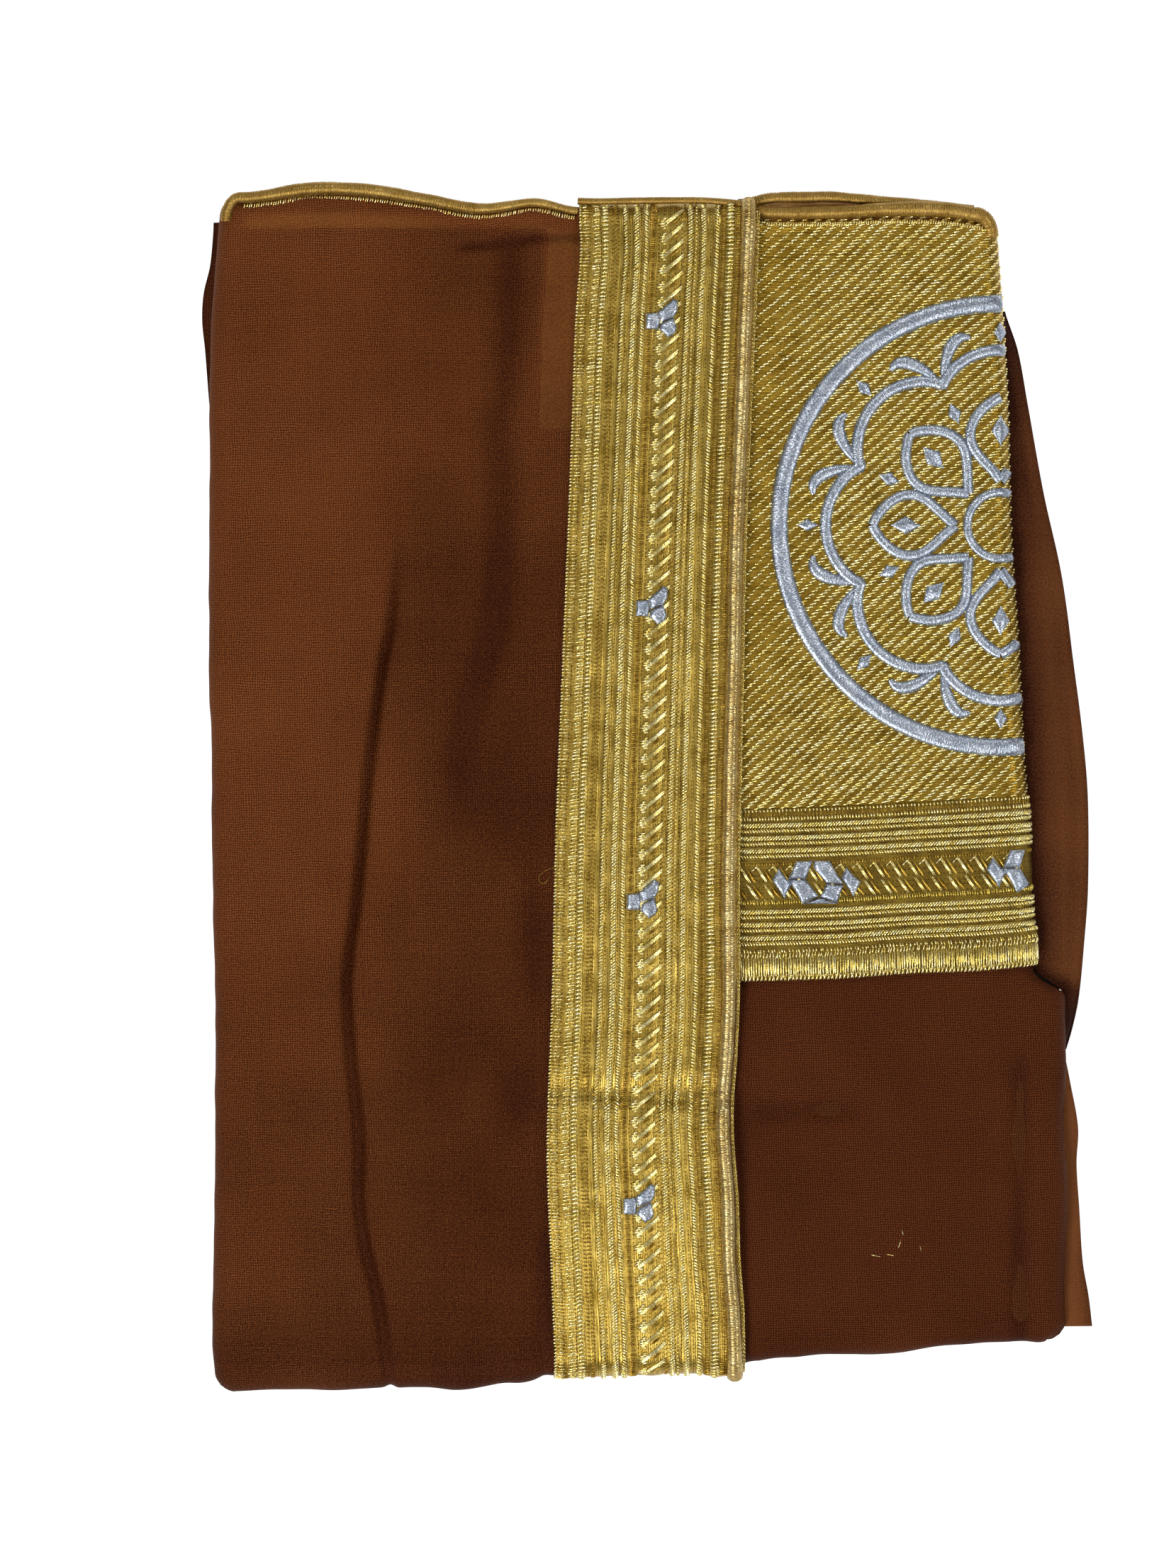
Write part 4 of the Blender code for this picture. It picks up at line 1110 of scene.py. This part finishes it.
def make_border_stitches():
    seats = {"bright": [], "dull": [], "yellow": []}
    for number, row in enumerate(BORDER_STITCHES):
        thread, pitch, first, last, slope, width, height, jitter, loose = row
        dice = np.random.default_rng(200 + number)
        x = along_border(pitch, jitter, dice)
        first = first + dice.uniform(-loose, loose, len(x))
        last = last + dice.uniform(-loose, loose, len(x))
        seats[thread].append(across_border(x, first, last, slope, width, height))
    for number, top in enumerate(BORDER_RIBS):
        x = along_border(0.95, 0.06, np.random.default_rng(230 + number))
        seats["bright"].append(across_border(x, top, top + 0.03, -1.6, 0.74, 0.95))
        seats["bright"].append(across_border(x + 0.4, top + 0.036, top + 0.06, 1.0, 0.7, 0.9))
    x = np.arange(28.4, 126.0, 5.55)
    for thread, *braid in BORDER_BRAID:
        seats[thread].append(across_border(x + braid[0], *braid[1:]))
    return (
        set_threads("border_bright_stitches", gold_stitch, seats["bright"], seed=7),
        set_threads("border_dull_stitches", dull_stitch, seats["dull"], arch=0.6, seed=8),
        set_threads("border_yellow_stitches", yellow_stitch, seats["yellow"], arch=0.6, seed=10),
    )


yoke_ground_cloth = make_yoke_ground()
yoke_floats = make_yoke_floats()
border_ground_cloth = make_border_ground()
border_bright, border_dull, border_yellow = make_border_stitches()


# Silver satin: the medallion's lines and the small woven marks

def seen_from_above(x, y, lift):
    """Place on the yoke for a place seen from above, carried round its right fold."""
    spine = spine_yoke(y)
    radius = FOLD_RADIUS + PANEL_TOP
    over = np.arcsin(np.clip((x - spine) / radius, 0, 0.985)) * radius
    return yoke_surface(np.where(x > spine, spine + over, x), y, lift)


# Section of a satin ribbon: ("across", "height")
RIBBON = (
    (-0.5, -0.25), (-0.46, 0.25), (-0.36, 0.68), (-0.2, 0.93), (0, 1),
    (0.2, 0.93), (0.36, 0.68), (0.46, 0.25), (0.5, -0.25),
)


def ribbon_points(line, width, height, taper=1.0):
    """Domed satin band along a line of (x, y) points, uneven where its stitches end."""
    across, dome = np.array(RIBBON).T
    way = unit(np.gradient(line, axis=0))
    size = (width * taper * np.ones(len(line)))[:, None]
    uneven = np.random.default_rng(len(line)).uniform(-0.035, 0.035, (len(line), len(RIBBON)))
    out = across * size * (1 + (np.abs(across) > 0.4) * uneven)
    full = height * dome * np.clip(size / width, 0.35, 1)
    points = seen_from_above(line[:, :1] - way[:, 1:] * out, line[:, 1:] + way[:, :1] * out, 0.25 + full)
    return points, np.stack(np.broadcast_arrays(across * size, run_along(line)[:, None]), axis=-1)


def join_sheets(name, parts, material):
    """One object from several grids of points."""
    faces, base = [], 0
    for points, uv in parts:
        faces += [tuple(base + corner for corner in face) for face in grid_faces(*points.shape[:2])]
        base += points[..., 0].size
    vertices = np.concatenate([points.reshape(-1, 3) for points, uv in parts])
    maps = np.concatenate([uv.reshape(-1, 2) for points, uv in parts])
    return add_object(name, vertices, faces, material, maps)


def keep_seen(line):
    """The stretches of a line that lie on the yoke's visible half."""
    seen = line[:, 0] < yoke_fold(line[:, 1]) - 0.25
    pieces, start = [], None
    for index, here in enumerate(seen):
        if here and start is None:
            start = index
        if start is not None and (not here or index == len(seen) - 1):
            if index - start > 4:
                pieces.append(line[start:index + (1 if here else 0)])
            start = None
    return pieces


def polar(angle, radius):
    """Points round the medallion's middle."""
    x, y = RING_CENTRE
    return np.stack([x + radius * np.cos(angle), y + radius * np.sin(angle)], axis=-1)


def make_medallion():
    """Plain ring with a generic eight-fold rosette of petals, leaves and lozenges."""
    ring_parts, inner_parts = [], []

    def add_line(parts, angle, radius, width, height):
        parts += [ribbon_points(part, width, height) for part in keep_seen(polar(angle, radius))]

    add_line(ring_parts, np.linspace(radians(60), radians(300), 420), RING_RADIUS, 6.2, 1.15)
    # Scalloped line of eight lobes
    turn = np.linspace(radians(70), radians(290), 520)
    add_line(inner_parts, turn, 50.0 + 8.0 * np.abs(np.cos(4 * turn)) ** 0.75, 4.2, 1.0)
    eighth = pi / 4
    for number in range(2, 7):
        centre = number * eighth
        # Long petals from the middle to each lobe
        reach = np.linspace(0, 1, 60)
        for hand in (-1, 1):
            spread = hand * 0.34 * np.sin(pi * reach) ** 0.85
            add_line(inner_parts, centre + spread, 15.0 + 27.5 * reach, 3.8, 1.0)
        # Leaves between the lobes and the ring
        reach = np.linspace(0, 1, 50)
        taper = 0.25 + 0.95 * np.sin(pi * np.clip(reach * 0.92 + 0.04, 0, 1)) ** 0.8
        for hand in (-1, 1):
            angle = centre + eighth / 2 + hand * (0.02 + 0.21 * reach)
            for part in keep_seen(polar(angle, 52.5 + 11.0 * np.sin(pi * reach * 0.62))):
                inner_parts.append(ribbon_points(part, 3.8, 1.0, taper[:len(part)]))
        # A lozenge in each petal, one past it and one between each pair
        reach = np.linspace(-1, 1, 16)
        taper = np.maximum(1 - np.abs(reach), 0.06)
        for angle, radius, size in ((centre, 31.5, 3.9), (centre + eighth / 2, 40.0, 3.0), (centre, 64.0, 2.8)):
            line = polar(angle, radius + reach * size * 1.25)
            whole = [part for part in keep_seen(line) if len(part) == len(line)]
            if whole and not (number == 6 and angle > centre):
                inner_parts.append(ribbon_points(line, size * 1.7, 0.9, taper))
    # Small ring in the middle
    add_line(inner_parts, np.linspace(radians(60), radians(300), 120), 11.0, 3.2, 0.9)
    ring = join_sheets("medallion_ring_satin", ring_parts, silver_satin)
    return ring, join_sheets("medallion_rosette_satin", inner_parts, silver_satin)


def patch(surface, corners, height):
    """Domed satin patch inside convex corners given on a surface."""
    outline = []
    for start, end in zip(corners, np.roll(corners, -1, axis=0)):
        outline += [start + (end - start) * share for share in (0, 0.25, 0.5, 0.75)]
    outline = np.array(outline + outline[:1])
    rows, maps = [], []
    for inset in (0.0, 0.1, 0.3, 0.6, 1.0):
        here = outline + (corners.mean(axis=0) - outline) * inset * 0.999
        full = height * (1 - (1 - min(inset * 2.2, 1)) ** 2)
        rows.append(surface(here[:, 0], here[:, 1], full - 0.15 * (inset == 0)))
        maps.append(here)
    return np.array(rows), np.array(maps)


def on_band(x, y, lift):
    """Place on the band for a place seen from above, over its raised rows."""
    share = (x - band_left(y)) / (band_right(y) - band_left(y))
    return band_surface(share, y, lift + 1.15 - band_raised(share))


def on_border(x, y, lift):
    """Place on the border for a place seen from above, over its raised rows."""
    share = (border_top(x) - y) / (border_top(x) - border_bottom(x))
    raised = 0.9 * np.interp(share, *border_ground_line)
    return border_surface(x, -BORDER_HEIGHT * share, lift + 1.05 - raised)


# Corners of each mark's patches, and the marks' middles: ("x", "y")
ARROW = (
    ((-5.4, 1.4), (-1.4, 1.7), (-0.7, -0.9), (-1.4, -3.9), (-5.4, -3.7)),
    ((-1.4, 1.9), (3.8, 6.3), (5.3, 5.4), (5.1, 2.3), (3.8, 0.2), (-0.4, -1.4)),
    ((-0.4, -1.9), (3.8, 0.0), (4.9, -3.3), (4.2, -5.2), (1.9, -6.6), (-1.0, -3.9)),
)
ARROW_MIDDLES = ((4.9, 154.8), (1.6, 60.1), (-1.4, -36.7), (-2.6, -137.0))
LOZENGE = (
    ((-15.0, 0.5), (-12.7, 4.5), (-8.5, -0.8), (-10.6, -5.6)),
    ((-9.6, 0.9), (-7.0, 6.8), (-1.4, 7.0), (-3.6, 1.0)),
    ((-9.4, 0.7), (-3.6, 0.8), (0.6, -4.6), (-4.7, -7.3)),
    ((-4.6, -7.4), (0.8, -5.2), (6.9, -7.2)),
    ((-1.0, 7.0), (4.2, 7.0), (8.7, -0.7), (3.1, -0.4), (-1.0, 4.4)),
    ((3.1, -0.7), (8.7, -1.1), (6.8, -7.0), (1.0, -4.9)),
    ((8.0, 1.4), (9.6, 4.9), (14.5, 0.0), (12.2, -4.9)),
)
LOZENGE_MIDDLES = ((56.0, -31.3), (127.0, -27.6))


def make_marks():
    """Small arrow marks down the band and lozenge marks along the border."""
    parts = []
    for middle in ARROW_MIDDLES:
        parts += [patch(on_band, np.array(corners) + middle, 0.6) for corners in ARROW]
    for middle in LOZENGE_MIDDLES:
        for corners in LOZENGE:
            placed = np.array(corners) + middle
            if placed[:, 0].max() <= yoke_fold(-30.0) + 1.2:
                parts.append(patch(on_border, placed, 0.65))
    return join_sheets("silver_marks", parts, silver_satin)


medallion_ring, medallion_rosette = make_medallion()
silver_marks = make_marks()


# Shoulder cords

LEFT_CORD = ((-140.0, 1.9), (-128.0, 1.95), (-105.0, 2.25), (-80.0, 2.1), (-50.0, 1.8), (-24.0, 1.3))
BAND_CORD = ((-24.0, 1.1), (36.0, 1.2))
RIGHT_CORD = ((38.0, 1.95), (61.0, 2.2), (80.0, 2.4), (98.0, 2.7), (110.0, 2.5))
# Line of the cord behind, apart from its end: ("x", "y")
BACK_LINE = (
    (35.0, 193.4), (41.0, 194.7), (52.0, 195.0), (61.0, 195.2), (70.5, 194.4), (80.0, 193.5), (92.6, 192.6),
)


def shoulder_path(low, high, size, tilt=CORD_TILT, rise=PANEL_TOP + 0.45):
    """Line of a cord of a given radius, which leans on the shoulder line."""
    x = np.linspace(low, high, 90)
    reach = FOLD_RADIUS + rise + size(x)
    z = crown(x, spine_top(x)) - FOLD_RADIUS + np.cos(tilt) * reach
    return np.stack([x, spine_top(x) + np.sin(tilt) * reach, z], axis=-1)


def cord_corner(end, across, down, drop, count):
    """Points where a cord turns down a corner of the pack."""
    turn = np.linspace(0, 1, count)[1:]
    x = end[0] + across * np.sin(turn * pi / 2)
    y = end[1] - down * (1 - np.cos(turn * pi / 2))
    return np.stack([x, y, end[2] - drop * turn], axis=-1)


def make_shoulder_cords():
    left_size, right_size = curve(LEFT_CORD), curve(RIGHT_CORD)
    left = shoulder_path(-134.5, -23.0, left_size)
    left = np.concatenate([cord_corner(left[0], -4.6, 7.6, 1.5, 16)[::-1], left])
    band = shoulder_path(-23.0, 34.0, curve(BAND_CORD), radians(58), BAND_TOP + 0.9)
    right = shoulder_path(36.5, 108.5, right_size, CORD_TILT + 0.14)
    right = np.concatenate([right, cord_corner(right[-1], 5.4, 7.0, 2.5, 18)])
    beside = shoulder_path(35.0, 108.0, straight(2.4))
    x = np.linspace(35.0, 108.0, 80)
    y = curve((*BACK_LINE, (108.0, 190.8)))(x)
    back = np.stack([x, y, np.interp(x, beside[:, 0], beside[:, 2]) - 3.3], axis=-1)
    cords = (
        # ("name", "path", "radius", "depth", "seed", "sides")
        ("left", left, lambda at: left_size(at - 141), 0.1, 71, 16),
        ("band", band, straight(1.15), 0.1, 72, 12),
        ("right", right, lambda at: right_size(at + 38), 0.1, 73, 16),
        ("back", back, straight(1.95), 0.11, 74, 12),
    )
    made = []
    for name, path, size, depth, seed, sides in cords:
        wound = wrapped(size, depth, seed)
        made.append(add_tube(f"shoulder_cord_{name}_wound", path_from(path, 0.2), wound, shaded_shoulder_gold, sides))
    return made


def make_nape():
    """Brown cloth that rises behind the front cord and carries the back one."""
    x, share = np.meshgrid(spans(30.0, 109.5), np.linspace(0, 1, 14))
    top = crown(x, spine_top(x)) - FOLD_RADIUS + 5.2
    start, end = spine_top(x) + 3.0, curve((*BACK_LINE, (110.0, 190.8)))(x) + 0.6
    y = start + (end - start) * np.minimum(share / 0.6, 1) + 0.5 * np.sin(pi * share)
    z = top - 1.2 * share - (top - 3.5) * np.maximum(share - 0.6, 0) / 0.4 * 0.8
    points = np.stack([x, y, z + 0.15 * ripple(x, y, 20, 95)], axis=-1)
    return add_sheet("nape_cloth", points, np.stack([x, share * 14], axis=-1), nape_satin)


def cord_foot_surface(x, up, lift=0.0):
    """Surface at the foot of a shoulder cord: x, and length up from the shoulder fold."""
    return laid(x, spine_top(x) + up, PANEL_TOP + 0.35 + lift)


cord_foot_surface.nudge = 0.4


def make_cord_feet():
    """Bright stitches where the shoulder cords meet the cloth."""
    seats = []
    for low, high, size, seed in ((-133.0, -24.0, 2.0, 91), (39.5, 111.0, 2.2, 92)):
        dice = np.random.default_rng(seed)
        x = np.arange(low, high, 0.8)
        x = x + dice.uniform(-0.12, 0.12, len(x))
        foot = 4.7 - 0.75 * size
        start = (x + 0.3, foot + 0.9 + 0 * x)
        end = (x - 0.1, foot - 0.8 + dice.uniform(-0.2, 0.2, len(x)))
        seats.append(seats_on(cord_foot_surface, start, end, 0.6, 0.95))
    return set_threads("shoulder_cord_stitches", gold_stitch, seats, seed=9)


def lower_surface(x, y, lift=0.0):
    return laid(x, y, lower_rise(x, y) + lift)


lower_surface.nudge = 0.3

# Snipped ends of metal thread on the lower panel: ("x", "y", "end x", "end y")
SNIPPED = (
    (74.1, -154.6, 77.0, -155.2), (79.2, -154.4, 81.5, -154.9), (83.0, -152.2, 83.8, -149.6),
    (84.6, -148.2, 84.2, -146.4), (90.6, -153.6, 90.2, -151.8), (36.4, -60.0, 37.6, -61.6),
)
# Loop of thread that has come out beside the band: ("x", "y")
LOOSE_LOOP = (
    (-29.5, -27.0), (-31.2, -26.6), (-33.4, -27.4), (-35.4, -28.8), (-36.0, -30.6), (-35.0, -31.8),
    (-33.6, -31.6), (-32.6, -30.2), (-31.8, -28.6),
)


def make_loose_threads():
    ends = np.array(SNIPPED).T
    return set_threads("loose_threads", gold_stitch, [seats_on(lower_surface, ends[:2], ends[2:], 0.26, 0.5)], seed=12)


def make_thread_loop():
    x, y = np.array(LOOSE_LOOP).T
    path = path_from(laid(x, y, front_rise(x, y) + 0.35), 0.5)
    return add_tube("thread_loop", path, lambda length, angle: 0.13 + 0 * length, dull_gold_thread, 6)


def make_under_trims():
    """Gold trims of the layer below, seen through the front."""
    across, up = np.meshgrid(spans(-134.5, -32.0), np.linspace(-2.6, 2.6, 5))
    trim = (laid(across, TRIM_BELOW + up, 0.7), np.stack([up, across], axis=-1))
    across, up = np.meshgrid(np.linspace(-11.0, 0.0, 8), spans(118.0, 187.0))
    strip = (laid(band_left(up) + across, up, 0.66), np.stack([across, up], axis=-1))
    return join_sheets("under_trims", (trim, strip), lit_under_gold)


shoulder_cords = make_shoulder_cords()
loose_threads = make_loose_threads()
thread_loop = make_thread_loop()
nape = make_nape()
cord_feet = make_cord_feet()
under_trims = make_under_trims()


# Riding and replacing

REPLACED = (
    (stack, "folded_layers", "dark_voile"), (front, "front_panel", "brown_voile"),
    (lower, "right_panel", "dark_voile"), (side_flap, "side_fold", "brown_voile"),
    (under_flap, "under_fold", "dark_voile"), (left_flap, "left_under_layer", "dark_voile"),
    (band_ground, "placket_band", "zari_gold"), (placket_cord, "placket_cord", "zari_gold"),
    (yoke_ground_cloth, "yoke_panel", "zari_gold"), (border_ground_cloth, "yoke_border", "zari_gold"),
    (medallion_ring, "medallion_ring", "zari_silver"), (medallion_rosette, "medallion_rosette", "zari_silver"),
    (shoulder_cords[0], "shoulder_cord_left", "zari_gold"), (shoulder_cords[1], "shoulder_cord_band", "zari_gold"),
    (shoulder_cords[2], "shoulder_cord_right", "zari_gold"), (shoulder_cords[3], "shoulder_cord_back", "zari_gold"),
)
ADDED = (
    (band_bright, "zari_gold"), (band_dull, "zari_gold"), (yoke_floats, "zari_gold"), (border_bright, "zari_gold"),
    (border_dull, "zari_gold"), (border_yellow, "zari_gold"), (silver_marks, "zari_silver"),
    (cord_feet, "zari_gold"), (under_trims, "zari_gold"), (nape, "zari_gold"), (loose_threads, "zari_gold"),
    (thread_loop, "zari_gold"),
)
for piece, node_name, slot in REPLACED:
    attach(piece, "root")
    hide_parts(node_name)
for piece, slot in ADDED:
    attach(piece, "root")


# Floor, light and camera

# Oblongs of the floor that the cloak covers, in metres: ("x", "half width", "y", "half height")
COVERED = ((-0.009, 0.124, 0.003, 0.18), (0.1185, 0.0185, -0.113, 0.062))
FLOOR_REACH = 3000.0
CAMERA_HEIGHT = 3.0


def make_floor():
    made, tree, shader = start_material("floor_paper")
    place = put(tree, "ShaderNodeTexCoord").outputs["Object"]
    split = put(tree, "ShaderNodeSeparateXYZ", Vector=place).outputs
    # The paper glows softly, apart from what is covered
    covered = 0.0
    for middle_x, half_x, middle_y, half_y in COVERED:
        inside_x = sums(tree, "COMPARE", split[0], middle_x, half_x)
        inside_y = sums(tree, "COMPARE", split[1], middle_y, half_y)
        covered = sums(tree, "MAXIMUM", sums(tree, "MULTIPLY", inside_x, inside_y), covered)
    feed(tree, shader, {
        "Base Color": (0.25, 0.25, 0.25, 1),
        "Roughness": 0.9,
        "Emission Color": (1, 1, 1, 1),
        "Emission Strength": sums(tree, "MULTIPLY_ADD", covered, -0.92, 0.92),
    })
    corners = [(x * FLOOR_REACH, y * FLOOR_REACH, -0.05) for x, y in ((-1, -1), (1, -1), (1, 1), (-1, 1))]
    add_object("floor", corners, [(0, 1, 2, 3)], made, smooth=False)


def add_light(name, place, size, power):
    """Square lamp that shines at the cloak."""
    lamp = bpy.data.lights.new(name, "AREA")
    lamp.shape = "RECTANGLE"
    lamp.size = lamp.size_y = size
    lamp.energy = power
    item = add_item(name, lamp)
    item.location = place
    item.rotation_euler = (-Vector(place)).to_track_quat("-Z", "Y").to_euler()


def make_light():
    world = bpy.data.worlds.new("studio")
    bpy.context.scene.world = world
    world.use_nodes = True
    feed(world.node_tree, world.node_tree.nodes["Background"], {"Color": (1, 1, 1, 1), "Strength": 0.2})
    add_light("key", (-0.75, -1.05, 1.6), 0.6, 32)
    add_light("side", (1.35, -0.25, 1.35), 0.45, 12)
    add_light("back", (0.1, 1.3, 1.5), 0.45, 9)
    bpy.context.scene.view_settings.view_transform = "Standard"


def make_camera():
    lens = bpy.data.cameras.new("camera")
    item = add_item("camera", lens)
    lens.lens = 36.0 * (CAMERA_HEIGHT - 0.015) / (PHOTO_HEIGHT * PIXEL * MM)
    lens.clip_end = 20
    item.location = (-19.6 * MM, 1.05 * MM, CAMERA_HEIGHT)
    item.rotation_euler = (0, 0, 0)
    bpy.context.scene.camera = item


make_floor()
make_light()
make_camera()
